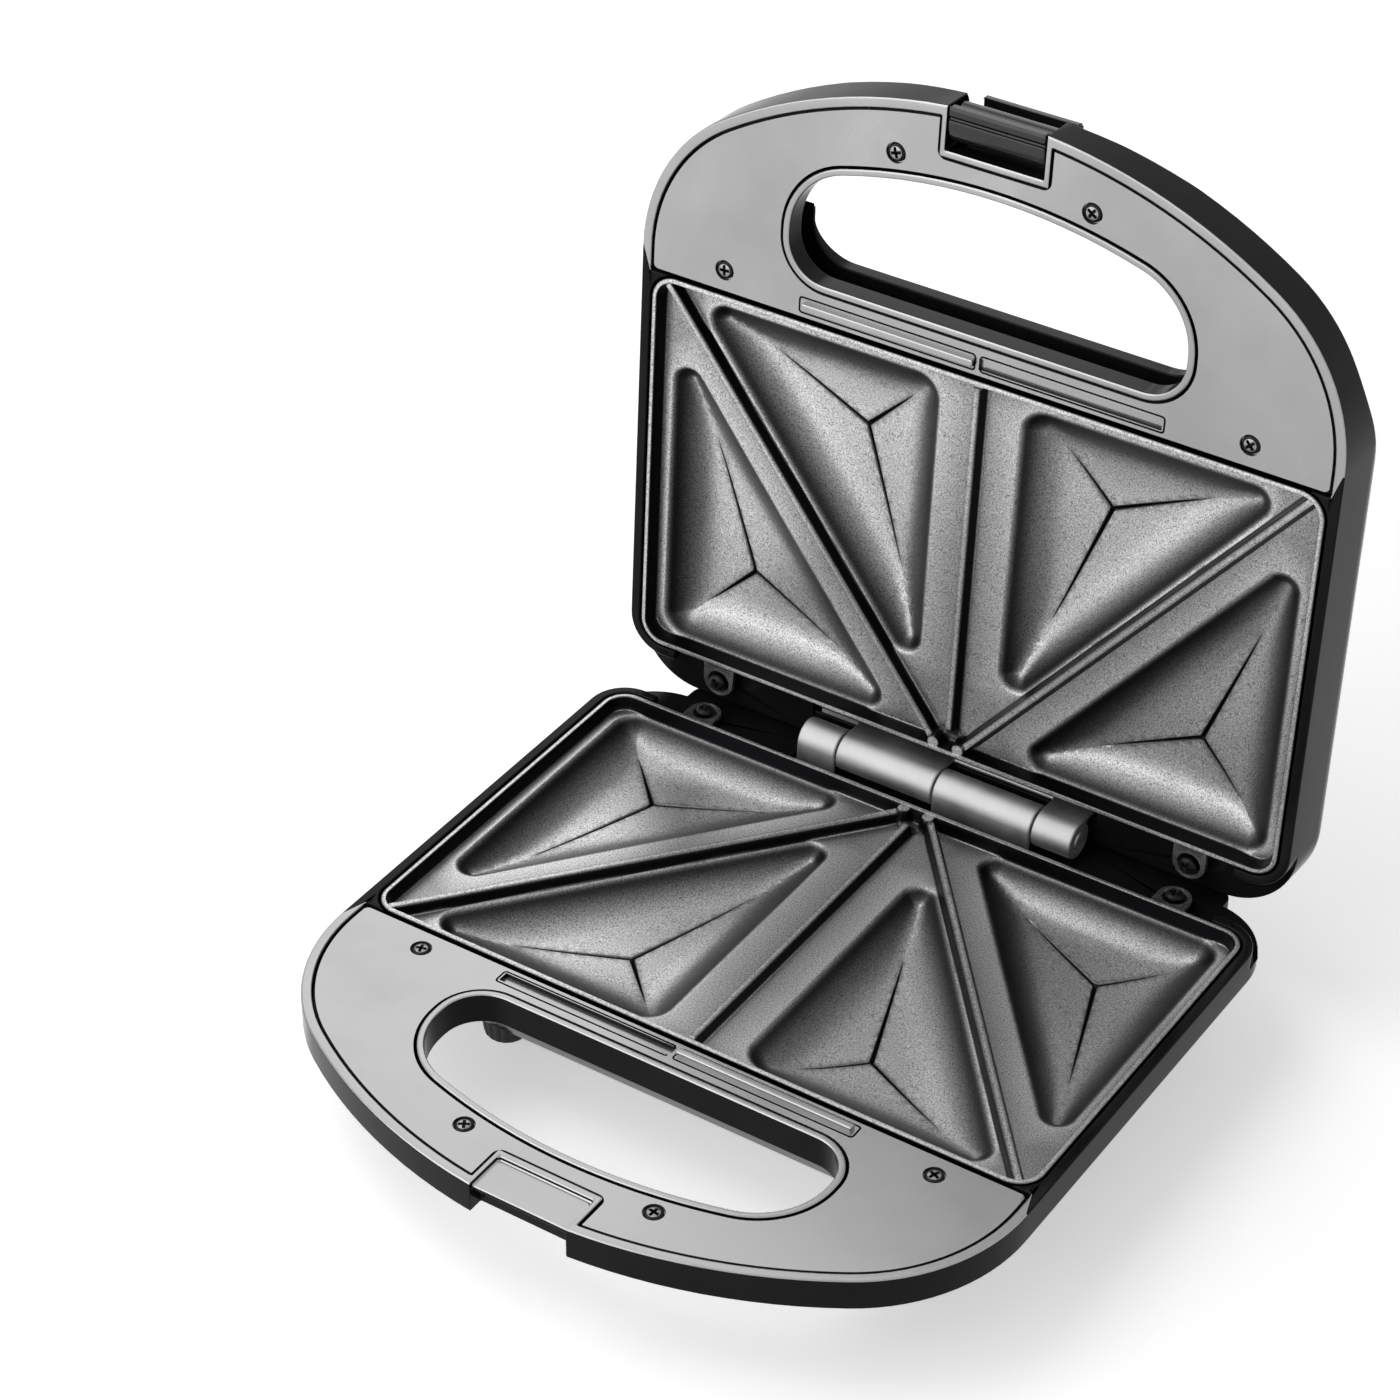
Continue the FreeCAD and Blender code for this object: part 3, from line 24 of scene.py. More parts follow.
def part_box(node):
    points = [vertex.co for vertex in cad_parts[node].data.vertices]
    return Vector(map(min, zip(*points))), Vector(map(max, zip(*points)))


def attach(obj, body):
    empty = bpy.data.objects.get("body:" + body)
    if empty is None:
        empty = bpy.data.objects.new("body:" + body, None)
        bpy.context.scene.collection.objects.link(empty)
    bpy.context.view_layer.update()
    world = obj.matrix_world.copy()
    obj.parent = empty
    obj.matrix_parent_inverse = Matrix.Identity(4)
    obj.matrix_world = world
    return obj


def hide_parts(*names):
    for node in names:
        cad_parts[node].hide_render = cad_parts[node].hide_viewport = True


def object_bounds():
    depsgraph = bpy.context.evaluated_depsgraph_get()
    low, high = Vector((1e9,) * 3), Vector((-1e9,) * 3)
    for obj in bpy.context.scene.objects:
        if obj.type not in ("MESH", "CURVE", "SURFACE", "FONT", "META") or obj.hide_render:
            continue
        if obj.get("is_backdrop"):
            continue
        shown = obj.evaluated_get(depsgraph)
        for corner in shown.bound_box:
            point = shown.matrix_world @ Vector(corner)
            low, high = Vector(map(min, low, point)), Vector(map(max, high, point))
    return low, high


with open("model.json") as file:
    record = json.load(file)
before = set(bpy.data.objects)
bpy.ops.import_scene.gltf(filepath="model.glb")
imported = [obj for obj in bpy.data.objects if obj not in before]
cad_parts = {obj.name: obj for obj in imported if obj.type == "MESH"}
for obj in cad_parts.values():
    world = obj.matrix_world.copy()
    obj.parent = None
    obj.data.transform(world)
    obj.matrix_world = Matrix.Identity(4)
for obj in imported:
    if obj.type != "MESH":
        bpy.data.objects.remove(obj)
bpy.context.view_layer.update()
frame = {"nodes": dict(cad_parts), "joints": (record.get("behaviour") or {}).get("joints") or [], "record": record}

MM = 0.001
FULL_TURN = 2 * math.pi
log = logging.getLogger("toaster")

Loop = np.ndarray
Pair = tuple[float, float]
Spot = tuple[float, float, float]
Tone = tuple[float, float, float]
Finishes = dict[str, bpy.types.Material]
Wanted = Callable[[Vector, Vector], bool]


class Body(Enum):
    """The three moving bodies of the toaster."""

    BASE = "base"
    LID = "lid"
    LATCH = "latch"


class Join(Enum):
    """How one solid is worked into another."""

    CUT = "DIFFERENCE"
    FUSE = "UNION"


# ------------------------------------------------------------------------- where things stand
@dataclass(frozen=True)
class Stance:
    """How the closed frame is turned for each body at rest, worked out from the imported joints."""

    hinge: Vector
    opened: float
    latch_pin: Vector
    flipped: float

    @classmethod
    def from_record(cls) -> Stance:
        """Read the hinge and the latch pin from the record.

        Returns:
            The stance, with both axes given in millimetres in the closed frame.
        """
        joints = {joint["name"]: joint for joint in frame["joints"]}
        lid, latch = joints["lid_hinge"], joints["latch_hinge"]
        hinge = Vector(lid["pos_m"]) / MM
        opened = math.radians(lid["range_deg"][1])
        pin = Vector(latch["pos_m"]) / MM
        closed = hinge + Matrix.Rotation(opened, 3, "X") @ (pin - hinge)
        return cls(hinge, opened, closed, math.radians(latch["range_deg"][1]))

    @staticmethod
    def _turn(centre: Vector, angle: float) -> Matrix:
        """Give a turn about a line along X."""
        there = Matrix.Translation(centre)
        return there @ Matrix.Rotation(angle, 4, "X") @ Matrix.Translation(-centre)

    def placement(self, body: Body, flipped: bool = False) -> Matrix:
        """Find where a piece drawn in the closed frame stands at rest.

        Args:
            body: The body that the piece rides on.
            flipped: True for a base piece that is used again, turned over, in the lid.

        Returns:
            The matrix from closed-frame millimetres to metres in the row frame.
        """
        move = Matrix.Identity(4)
        if body is not Body.BASE:
            move = self._turn(self.hinge, -self.opened)
        if body is Body.LATCH:
            move = move @ self._turn(self.latch_pin, -self.flipped)
        if flipped:
            level = Matrix.Translation((0, 0, self.hinge.z))
            move = move @ level @ Matrix.Rotation(math.pi, 4, "Y") @ level.inverted()
        return Matrix.Scale(MM, 4) @ move


STANCE = Stance.from_record()
PARTING = STANCE.hinge.z


# ----------------------------------------------------------------------------------- outlines
ARC_STEP = math.radians(7.5)


def unit(way: np.ndarray) -> np.ndarray:
    """Scale a direction to length one."""
    return way / np.linalg.norm(way)


def arc(centre: Sequence[float], radius: float, start: float, end: float, count: int,
        last: bool = False) -> Loop:
    """Give points along an arc.

    Args:
        centre: Its centre.
        radius: Its radius.
        start: First angle in radians.
        end: Last angle in radians.
        count: How many points there are.
        last: True if the point at the last angle is one of them.

    Returns:
        The points, one row each.
    """
    turn = np.linspace(start, end, count, endpoint=last)
    return np.stack([centre[0] + radius * np.cos(turn), centre[1] + radius * np.sin(turn)], axis=1)


def run(start: Sequence[float], end: Sequence[float], count: int) -> Loop:
    """Give points along a straight line, without the last one."""
    share = np.linspace(0, 1, count, endpoint=False)[:, None]
    return np.asarray(start, float) * (1 - share) + np.asarray(end, float) * share


def rounded(corners: Sequence[Sequence[float]], radii: Sequence[float], step: float = 2.0) -> Loop:
    """Draw a closed outline with round corners.

    Args:
        corners: The sharp corners, counter-clockwise.
        radii: A radius for each corner.
        step: Greatest distance between two points on a straight run.

    Returns:
        The outline's points.
    """
    total = len(corners)
    bends: list[Loop] = []
    ends: list[tuple[np.ndarray, np.ndarray]] = []
    for i, (corner, radius) in enumerate(zip(corners, radii)):
        point = np.asarray(corner, float)
        if radius <= 0:
            ends.append((point, point))
            bends.append(point[None, :])
            continue
        before = unit(np.asarray(corners[i - 1], float) - point)
        after = unit(np.asarray(corners[(i + 1) % total], float) - point)
        half = math.acos(float(np.clip(before @ after, -1, 1))) / 2
        cut = radius / math.tan(half)
        centre = point + unit(before + after) * radius / math.sin(half)
        first, last = point + before * cut, point + after * cut
        a = math.atan2(first[1] - centre[1], first[0] - centre[0])
        b = math.atan2(last[1] - centre[1], last[0] - centre[0])
        bend = (b - a + math.pi) % FULL_TURN - math.pi
        count = max(3, int(abs(bend) / ARC_STEP))
        bends.append(arc(centre, radius, a, a + bend, count + 1, last=True))
        ends.append((first, last))
    points: list[Loop] = []
    for i, bend_points in enumerate(bends):
        points.append(bend_points)
        start, end = ends[i][1], ends[(i + 1) % total][0]
        count = int(float(np.linalg.norm(end - start)) // step)
        if count > 1:
            points.append(run(start, end, count)[1:])
    return np.concatenate(points)


def rect(x0: float, x1: float, y0: float, y1: float, radius: float = 0.0,
         step: float = 1e6) -> Loop:
    """Draw a rectangle with round corners."""
    return rounded([(x0, y0), (x1, y0), (x1, y1), (x0, y1)], [radius] * 4, step)


def within(points: np.ndarray, loop: Loop) -> np.ndarray:
    """Tell which points lie inside a closed outline.

    Args:
        points: The points, one a row.
        loop: The outline.

    Returns:
        True for each point inside it.
    """
    x, y = points[:, 0:1], points[:, 1:2]
    ax, ay = loop[:, 0], loop[:, 1]
    bx, by = np.roll(ax, -1), np.roll(ay, -1)
    rise = np.where(by == ay, 1e-12, by - ay)
    crossed = ((ay > y) != (by > y)) & (x < (bx - ax) * (y - ay) / rise + ax)
    return crossed.sum(axis=1) % 2 == 1


@dataclass(frozen=True)
class DShape:
    """The D of the handle: straight back and sides, big round corners and a bowed front."""

    half: float
    corner: float
    bow: float
    front: float
    back: float
    back_round: float

    # steps along the back, a back corner, a side, a front corner and the front
    STEPS = (44, 12, 26, 20, 64)

    def grown(self, by: float) -> DShape:
        """Move the whole outline outwards."""
        return DShape(*(size + by for size in astuple(self)))

    def walk(self) -> Loop:
        """Go round the outline, always with the same number of points.

        Returns:
            The points, counter-clockwise from the right end of the back.
        """
        back, turn, side, corner, bow = self.STEPS
        centre = self.bow - self.front
        xc = self.half - self.corner
        yc = centre - math.sqrt((self.bow - self.corner) ** 2 - xc ** 2)
        lean = math.atan2(yc - centre, xc)
        rest, level = self.half - self.back_round, self.back - self.back_round
        return np.concatenate([
            run((rest, self.back), (-rest, self.back), back),
            arc((-rest, level), self.back_round, math.pi / 2, math.pi, turn),
            run((-self.half, level), (-self.half, yc), side),
            arc((-xc, yc), self.corner, math.pi, math.pi - lean, corner),
            arc((0, centre), self.bow, -math.pi - lean, lean, bow),
            arc((xc, yc), self.corner, lean, 0, corner),
            run((self.half, yc), (self.half, level), side),
            arc((rest, level), self.back_round, 0, math.pi / 2, turn),
        ])


# ----------------------------------------------------------------------------- drawing solids
# edges sharper than the first are rounded, and flatter than the second shaded smooth
SHARP_ANGLE = math.radians(40.0)
SMOOTH_ANGLE = math.radians(35.0)
# in metres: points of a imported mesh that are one, and play at the sides of its box
WELD = 2e-6
SLACK = 1e-6
# share of its reach by which a rounding may stand proud of the solid
PROUD_SHARE = 0.35
# how far a cutting tool stands above the face it cuts, and the foot of one that goes through
OVERCUT = 1.0
THROUGH = -4.0


def stand(name: str, data: bpy.types.ID) -> bpy.types.Object:
    """Make an object of a mesh, a lamp or a camera and put it in the scene.

    Args:
        name: Name of the object.
        data: What it holds.

    Returns:
        The object.
    """
    thing = bpy.data.objects.new(name, data)
    bpy.context.scene.collection.objects.link(thing)
    return thing


def discard(thing: bpy.types.Object) -> None:
    """Remove an object together with its mesh.

    Args:
        thing: The object.
    """
    mesh = thing.data
    bpy.data.objects.remove(thing)
    bpy.data.meshes.remove(mesh)


class Draft:
    """A closed mesh that is drawn in millimetres in the closed frame before it is placed."""

    def __init__(self, name: str) -> None:
        """Start an empty draft with the name of its piece."""
        self.name = name
        self.mesh = bmesh.new()

    def rings(self, rings: Sequence[np.ndarray]) -> Draft:
        """Join loops of equal length with quads and cap both ends.

        Args:
            rings: The loops, each with three coordinates a point.

        Returns:
            The draft itself.
        """
        verts = [[self.mesh.verts.new(p) for p in ring] for ring in rings]
        for low, high in zip(verts, verts[1:]):
            for i in range(len(low)):
                j = (i + 1) % len(low)
                self.mesh.faces.new((low[i], low[j], high[j], high[i]))
        self.mesh.faces.new(verts[0][::-1])
        self.mesh.faces.new(verts[-1])
        return self

    def prism(self, loops: Sequence[Loop], low: float, high: float) -> Draft:
        """Raise a flat outline, with holes, into a solid.

        Args:
            loops: The outer outline first, then any holes.
            low: Bottom level.
            high: Top level.

        Returns:
            The draft itself.
        """
        points = np.concatenate(loops)
        edges, start = [], 0
        for loop in loops:
            count = len(loop)
            edges += [(start + i, start + (i + 1) % count) for i in range(count)]
            start += count
        flat, _, faces, *_ = delaunay_2d_cdt([Vector(p) for p in points], edges, [], 1, 1e-5)
        middles = np.array([[sum(flat[i][k] for i in face) / 3 for k in (0, 1)] for face in faces])
        keep = within(middles, loops[0])
        for hole in loops[1:]:
            keep &= ~within(middles, hole)
        bottom = [self.mesh.verts.new((p.x, p.y, low)) for p in flat]
        top = [self.mesh.verts.new((p.x, p.y, high)) for p in flat]
        sides: dict[tuple[int, int], None] = {}
        for face in (face for face, kept in zip(faces, keep) if kept):
            self.mesh.faces.new([top[i] for i in face])
            self.mesh.faces.new([bottom[i] for i in reversed(face)])
            for a, b in zip(face, [*face[1:], face[0]]):
                if (b, a) in sides:
                    del sides[(b, a)]
                else:
                    sides[(a, b)] = None
        for a, b in sides:
            self.mesh.faces.new((top[b], top[a], bottom[a], bottom[b]))
        return self

    def lathe(self, profile: Sequence[Pair], centre: Spot, count: int = 48) -> Draft:
        """Turn a profile about an upright line.

        Args:
            profile: Pairs of radius and height, from one end of the line to the other.
            centre: Where height nought lies.
            count: Steps round the line.

        Returns:
            The draft itself.
        """
        turn = np.linspace(0, FULL_TURN, count, endpoint=False)
        rings = []
        for radius, height in profile:
            wide = max(radius, 1e-3)
            ring = (wide * np.cos(turn), wide * np.sin(turn), np.full(count, height))
            rings.append(np.stack(ring, axis=1) + np.asarray(centre, float))
        return self.rings(rings)

    def object(self) -> bpy.types.Object:
        """Turn the draft into an object.

        Returns:
            The object, still in millimetres.
        """
        bmesh.ops.recalc_face_normals(self.mesh, faces=self.mesh.faces)
        mesh = bpy.data.meshes.new(self.name)
        self.mesh.to_mesh(mesh)
        self.mesh.free()
        return stand(self.name, mesh)


def settle(thing: bpy.types.Object) -> bpy.types.Object:
    """Apply all modifiers of an object to its mesh.

    Args:
        thing: The object.

    Returns:
        The same object.
    """
    depsgraph = bpy.context.evaluated_depsgraph_get()
    mesh = bpy.data.meshes.new_from_object(thing.evaluated_get(depsgraph))
    thing.modifiers.clear()
    old, thing.data = thing.data, mesh
    bpy.data.meshes.remove(old)
    return thing


def carve(thing: bpy.types.Object, tool: bpy.types.Object,
          way: Join = Join.CUT) -> bpy.types.Object:
    """Cut or join one solid with another, which is used up.

    Args:
        thing: The solid that stays.
        tool: The solid that cuts it or is joined to it.
        way: Whether it is cut or joined.

    Returns:
        The solid that stays.
    """
    cut = thing.modifiers.new("carve", "BOOLEAN")
    cut.operation, cut.solver, cut.object = way.value, "EXACT", tool
    settle(thing)
    discard(tool)
    return thing


def soften(thing: bpy.types.Object, width: float, segments: int = 3,
           clamp: bool = True) -> bpy.types.Object:
    """Round the sharp edges of a solid.

    Args:
        thing: The solid.
        width: Width of the rounding.
        segments: Steps across it.
        clamp: False keeps the full width where edges are shorter than it.

    Returns:
        The same solid.
    """
    bevel = thing.modifiers.new("soften", "BEVEL")
    bevel.width, bevel.segments, bevel.limit_method = width, segments, "ANGLE"
    bevel.angle_limit = SHARP_ANGLE
    bevel.use_clamp_overlap = clamp
    bevel.miter_outer = "MITER_ARC"
    return settle(thing)


def copy_of(node: str, name: str) -> bpy.types.Object:
    """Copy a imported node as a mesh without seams.

    Args:
        node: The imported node.
        name: Name of the copy.

    Returns:
        The copy, in metres where the node rests.
    """
    mesh = frame["nodes"][node].data.copy()
    mesh.name = name
    shape = bmesh.new()
    shape.from_mesh(mesh)
    bmesh.ops.remove_doubles(shape, verts=shape.verts, dist=WELD)
    for edge in shape.edges:
        edge.smooth = True
    shape.to_mesh(mesh)
    shape.free()
    if "custom_normal" in mesh.attributes:
        mesh.attributes.remove(mesh.attributes["custom_normal"])
    return stand(name, mesh)


def true_up(thing: bpy.types.Object, node: str, reach: float) -> bpy.types.Object:
    """Lay corners of a rounded copy that stand off its solid back onto it.

    Args:
        thing: The rounded copy.
        node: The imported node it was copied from.
        reach: Farthest that the rounding may leave the solid, in metres.

    Returns:
        The same copy.
    """
    shape = bmesh.new()
    shape.from_mesh(frame["nodes"][node].data)
    tree = BVHTree.FromBMesh(shape)
    shape.free()
    low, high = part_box(node)
    for vert in thing.data.vertices:
        outside = any(not low[i] - SLACK <= vert.co[i] <= high[i] + SLACK for i in range(3))
        spot, way, _, away = tree.find_nearest(vert.co)
        if outside or away > reach or (vert.co - spot).dot(way) > PROUD_SHARE * reach:
            vert.co = spot
    return thing


def clothe(thing: bpy.types.Object, body: Body, finish: bpy.types.Material,
           node: str) -> bpy.types.Object:
    """Shade a placed piece, give it its material and let it stand for its CAD node.

    Args:
        thing: The piece, in metres where it rests.
        body: The body that it rides on.
        finish: Its material.
        node: The CAD node that it replaces.

    Returns:
        The same object.
    """
    thing.data.shade_smooth()
    thing.data.set_sharp_from_angle(angle=SMOOTH_ANGLE)
    even = thing.modifiers.new("even", "WEIGHTED_NORMAL")
    even.keep_sharp, even.weight, even.mode = True, 60, "FACE_AREA"
    mesh = settle(thing).data
    mesh.materials.clear()
    mesh.materials.append(finish)
    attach(thing, body.value)
    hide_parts(node)
    log.info("%s: %d faces on %s", thing.name, len(mesh.polygons), body.value)
    return thing


def dress(thing: bpy.types.Object, body: Body, finish: bpy.types.Material, node: str,
          flipped: bool = False) -> bpy.types.Object:
    """Place a solid drawn in the closed frame and clothe it.

    Args:
        thing: The solid, in closed-frame millimetres.
        body: The body that it rides on.
        finish: Its material.
        node: The CAD node that it replaces.
        flipped: True for a base piece that is used again in the lid.

    Returns:
        The placed object.
    """
    thing.data.transform(STANCE.placement(body, flipped))
    return clothe(thing, body, finish, node)


def repaint(mesh: bpy.types.Mesh, body: Body, finish: bpy.types.Material, wanted: Wanted) -> None:
    """Give some faces of a placed piece another finish.

    Args:
        mesh: The piece's mesh.
        body: The body that it rides on.
        finish: The other finish.
        wanted: Tells whether a face gets it, from its middle and its outward direction, both in
            the closed frame and the middle in millimetres.
    """
    mesh.materials.append(finish)
    index = len(mesh.materials) - 1
    back = STANCE.placement(body).inverted()
    turn = back.to_3x3().normalized()
    for face in mesh.polygons:
        if wanted(back @ face.center, turn @ face.normal):
            face.material_index = index


# ----------------------------------------------------------------------------------- finishes
class Bench:
    """A node tree while it is being put together."""

    def __init__(self, tree: bpy.types.NodeTree) -> None:
        """Clear the tree of a material or of the world."""
        self.tree = tree
        self.tree.nodes.clear()

    @staticmethod
    def fill(item: bpy.types.Node, **inputs: object) -> None:
        """Set values on a node's own sockets, with _ for a blank in their names."""
        for key, value in inputs.items():
            item.inputs[key.replace("_", " ")].default_value = value

    def node(self, kind: str, settings: dict | None = None, **inputs: object) -> bpy.types.Node:
        """Add a node.

        Args:
            kind: Blender's name of the node.
            settings: Properties of the node.
            **inputs: Values of its sockets, with _ for a blank.

        Returns:
            The node.
        """
        item = self.tree.nodes.new(kind)
        for key, value in (settings or {}).items():
            setattr(item, key, value)
        self.fill(item, **inputs)
        return item

    def link(self, source: bpy.types.Node, out: str | int, target: bpy.types.Node,
             into: str | int) -> None:
        """Join two sockets."""
        self.tree.links.new(source.outputs[out], target.inputs[into])

    def seen(self) -> bpy.types.Node:
        """Mark what is seen straight, in a mirror or through glass.

        Returns:
            The node whose output is one there and nought elsewhere.
        """
        path = self.node("ShaderNodeLightPath")
        first = self.node("ShaderNodeMath", {"operation": "MAXIMUM"})
        second = self.node("ShaderNodeMath", {"operation": "MAXIMUM"})
        self.link(path, "Is Camera Ray", first, 0)
        self.link(path, "Is Glossy Ray", first, 1)
        self.link(first, 0, second, 0)
        self.link(path, "Is Transmission Ray", second, 1)
        return second


class Recipe(Bench):
    """A node material while it is being put together."""

    # most noise lies between these two grey values
    NOISE_LOW = 0.3
    NOISE_HIGH = 0.7

    def __init__(self, name: str) -> None:
        """Start a material with a plain shader.

        Args:
            name: Name of the material.
        """
        self.material = bpy.data.materials.new(name)
        self.material.use_nodes = True
        super().__init__(self.material.node_tree)
        output = self.node("ShaderNodeOutputMaterial")
        self.shader = self.node("ShaderNodeBsdfPrincipled")
        self.link(self.shader, "BSDF", output, "Surface")

    def feed(self, source: bpy.types.Node, out: str | int, into: str) -> None:
        """Join a socket to one of the shader's."""
        self.link(source, out, self.shader, into)

    def place(self, stretch: Sequence[float] = (1, 1, 1)) -> bpy.types.Node:
        """Give the object's own coordinates, scaled by a stretch.

        Args:
            stretch: Scale along each axis.

        Returns:
            The node whose Vector output holds them.
        """
        where = self.node("ShaderNodeTexCoord")
        scale = self.node("ShaderNodeMapping", Scale=tuple(stretch))
        self.link(where, "Object", scale, "Vector")
        return scale

    def noise(self, size: float, detail: float,
              stretch: Sequence[float] = (1, 1, 1)) -> bpy.types.Node:
        """Add noise.

        Args:
            size: Size of its blotches in millimetres.
            detail: How many finer layers it has.
            stretch: Scale along each axis.

        Returns:
            The noise node.
        """
        item = self.node("ShaderNodeTexNoise", Scale=1.0 / (size * MM), Detail=detail,
                         Roughness=0.55)
        self.link(self.place(stretch), "Vector", item, "Vector")
        return item

    def blend(self, source: bpy.types.Node, out: str, first: Tone, last: Tone,
              low: float = NOISE_LOW, high: float = NOISE_HIGH) -> bpy.types.Node:
        """Turn a grey value into a run between two colours.

        Args:
            source: The node that gives the grey value.
            out: Its output.
            first: Colour at the low end.
            last: Colour at the high end.
            low: Grey value of the low end.
            high: Grey value of the high end.

        Returns:
            The colour ramp.
        """
        ramp = self.node("ShaderNodeValToRGB")
        for stop, place, tone in zip(ramp.color_ramp.elements, (low, high), (first, last)):
            stop.position, stop.color = place, (*tone, 1)
        self.link(source, out, ramp, "Fac")
        return ramp

    def spread(self, source: bpy.types.Node, low: float, high: float) -> bpy.types.Node:
        """Turn noise into a range of numbers.

        Args:
            source: The noise node.
            low: Least number.
            high: Greatest number.

        Returns:
            The node whose Result output holds the number.
        """
        item = self.node("ShaderNodeMapRange", From_Min=self.NOISE_LOW, From_Max=self.NOISE_HIGH,
                         To_Min=low, To_Max=high)
        self.link(source, "Fac", item, "Value")
        return item

    def relief(self, source: bpy.types.Node, out: str, depth: float,
               under: bpy.types.Node | None = None) -> bpy.types.Node:
        """Add a bump.

        Args:
            source: The node that gives the height.
            out: Its output.
            depth: Depth of the bump in millimetres.
            under: Another bump that this one lies on.

        Returns:
            The bump node.
        """
        bump = self.node("ShaderNodeBump", Strength=1.0, Distance=depth * MM)
        self.link(source, out, bump, "Height")
        if under is not None:
            self.link(under, "Normal", bump, "Normal")
        return bump


@dataclass(frozen=True)
class Finish:
    """A surface finish whose colour, roughness and relief wander with two sizes of noise.

    Sizes are in millimetres.  The cloud is the slow variation, the grain is the fine one.
    """

    name: str
    tone: Tone
    shade: Tone
    rough: Pair
    metallic: float = 0.0
    grain: float = 0.6
    depth: float = 0.004
    cloud: float = 22.0
    stretch: Spot = (1, 1, 1)
    specular: float = 0.5

    def material(self) -> bpy.types.Material:
        """Build the node material.

        Returns:
            The material.
        """
        recipe = Recipe(self.name)
        cloud = recipe.noise(self.cloud, 4.0)
        grain = recipe.noise(self.grain, 2.0, self.stretch)
        recipe.feed(recipe.blend(cloud, "Fac", self.tone, self.shade), "Color", "Base Color")
        recipe.feed(recipe.spread(cloud, *self.rough), "Result", "Roughness")
        recipe.feed(recipe.relief(grain, "Fac", self.depth), "Normal", "Normal")
        recipe.fill(recipe.shader, Metallic=self.metallic, Specular_IOR_Level=self.specular)
        return recipe.material


@dataclass(frozen=True)
class CoatedPlate:
    """Grey non-stick coating: dull metal sprayed with fine dark and light grains.

    The mesh's painted-shade attribute mixes its colour towards a near-black tone where the surface stands upright,
    in the creases and on the tabs: painted shade.
    """

    name: str = "grey_nonstick_coating"
    dark: Tone = (0.12, 0.12, 0.122)
    plain: Tone = (0.42, 0.42, 0.423)
    light: Tone = (0.74, 0.74, 0.745)
    painted_shade_tone: Tone = (0.006, 0.006, 0.007)
    # near-black tone of the painted shade
    stops: Spot = (0.30, 0.47, 0.72)
    metallic: float = 0.9
    specular: float = 0.15
    rough: Pair = (0.30, 0.38)
    cloud: float = 18.0
    grain: float = 0.42
    pebble: float = 2.2
    depth: float = 0.02

    def material(self) -> bpy.types.Material:
        """Build the node material.

        Returns:
            The material.
        """
        recipe = Recipe(self.name)
        grain = recipe.noise(self.grain, 3.0)
        cloud = recipe.noise(self.cloud, 3.0)
        low, middle, high = self.stops
        colour = recipe.blend(grain, "Fac", self.dark, self.light, low, high)
        colour.color_ramp.elements.new(middle).color = (*self.plain, 1)
        # painted shade: where the plate's attribute is high, the grain colour is blended towards the near-black
        # tone
        painted_shade = recipe.node("ShaderNodeAttribute", {"attribute_name": "painted_shade"})
        mix = recipe.node("ShaderNodeMix", {"data_type": "RGBA"})
        recipe.link(painted_shade, "Fac", mix, 0)
        recipe.link(colour, "Color", mix, 6)
        mix.inputs[7].default_value = (*self.painted_shade_tone, 1)
        recipe.feed(mix, 2, "Base Color")
        recipe.feed(recipe.spread(cloud, *self.rough), "Result", "Roughness")
        fine = recipe.relief(grain, "Fac", self.depth)
        broad = recipe.relief(recipe.noise(self.pebble, 2.0), "Fac", self.depth, fine)
        recipe.feed(broad, "Normal", "Normal")
        recipe.fill(recipe.shader, Metallic=self.metallic, Specular_IOR_Level=self.specular)
        return recipe.material


@dataclass(frozen=True)
class RibbedLens:
    """Tinted lamp window with a fine grid of ribs moulded into it."""

    name: str
    tone: Tone
    shade: Tone
    glow: float
    pitch: float = 0.9
    depth: float = 0.12
    rough: float = 0.22

    def material(self) -> bpy.types.Material:
        """Build the node material.

        Returns:
            The material.
        """
        recipe = Recipe(self.name)
        cells = recipe.node("ShaderNodeTexVoronoi", {"feature": "F1", "distance": "CHEBYCHEV"},
                            Scale=1.0 / (self.pitch * MM), Randomness=0.0)
        recipe.link(recipe.place(), "Vector", cells, "Vector")
        colour = recipe.blend(cells, "Distance", self.tone, self.shade, 0.1, 0.6)
        recipe.feed(colour, "Color", "Base Color")
        recipe.feed(recipe.relief(cells, "Distance", self.depth), "Normal", "Normal")
        recipe.fill(recipe.shader, Roughness=self.rough, Emission_Color=(*self.tone, 1),
                    Emission_Strength=self.glow)
        return recipe.material


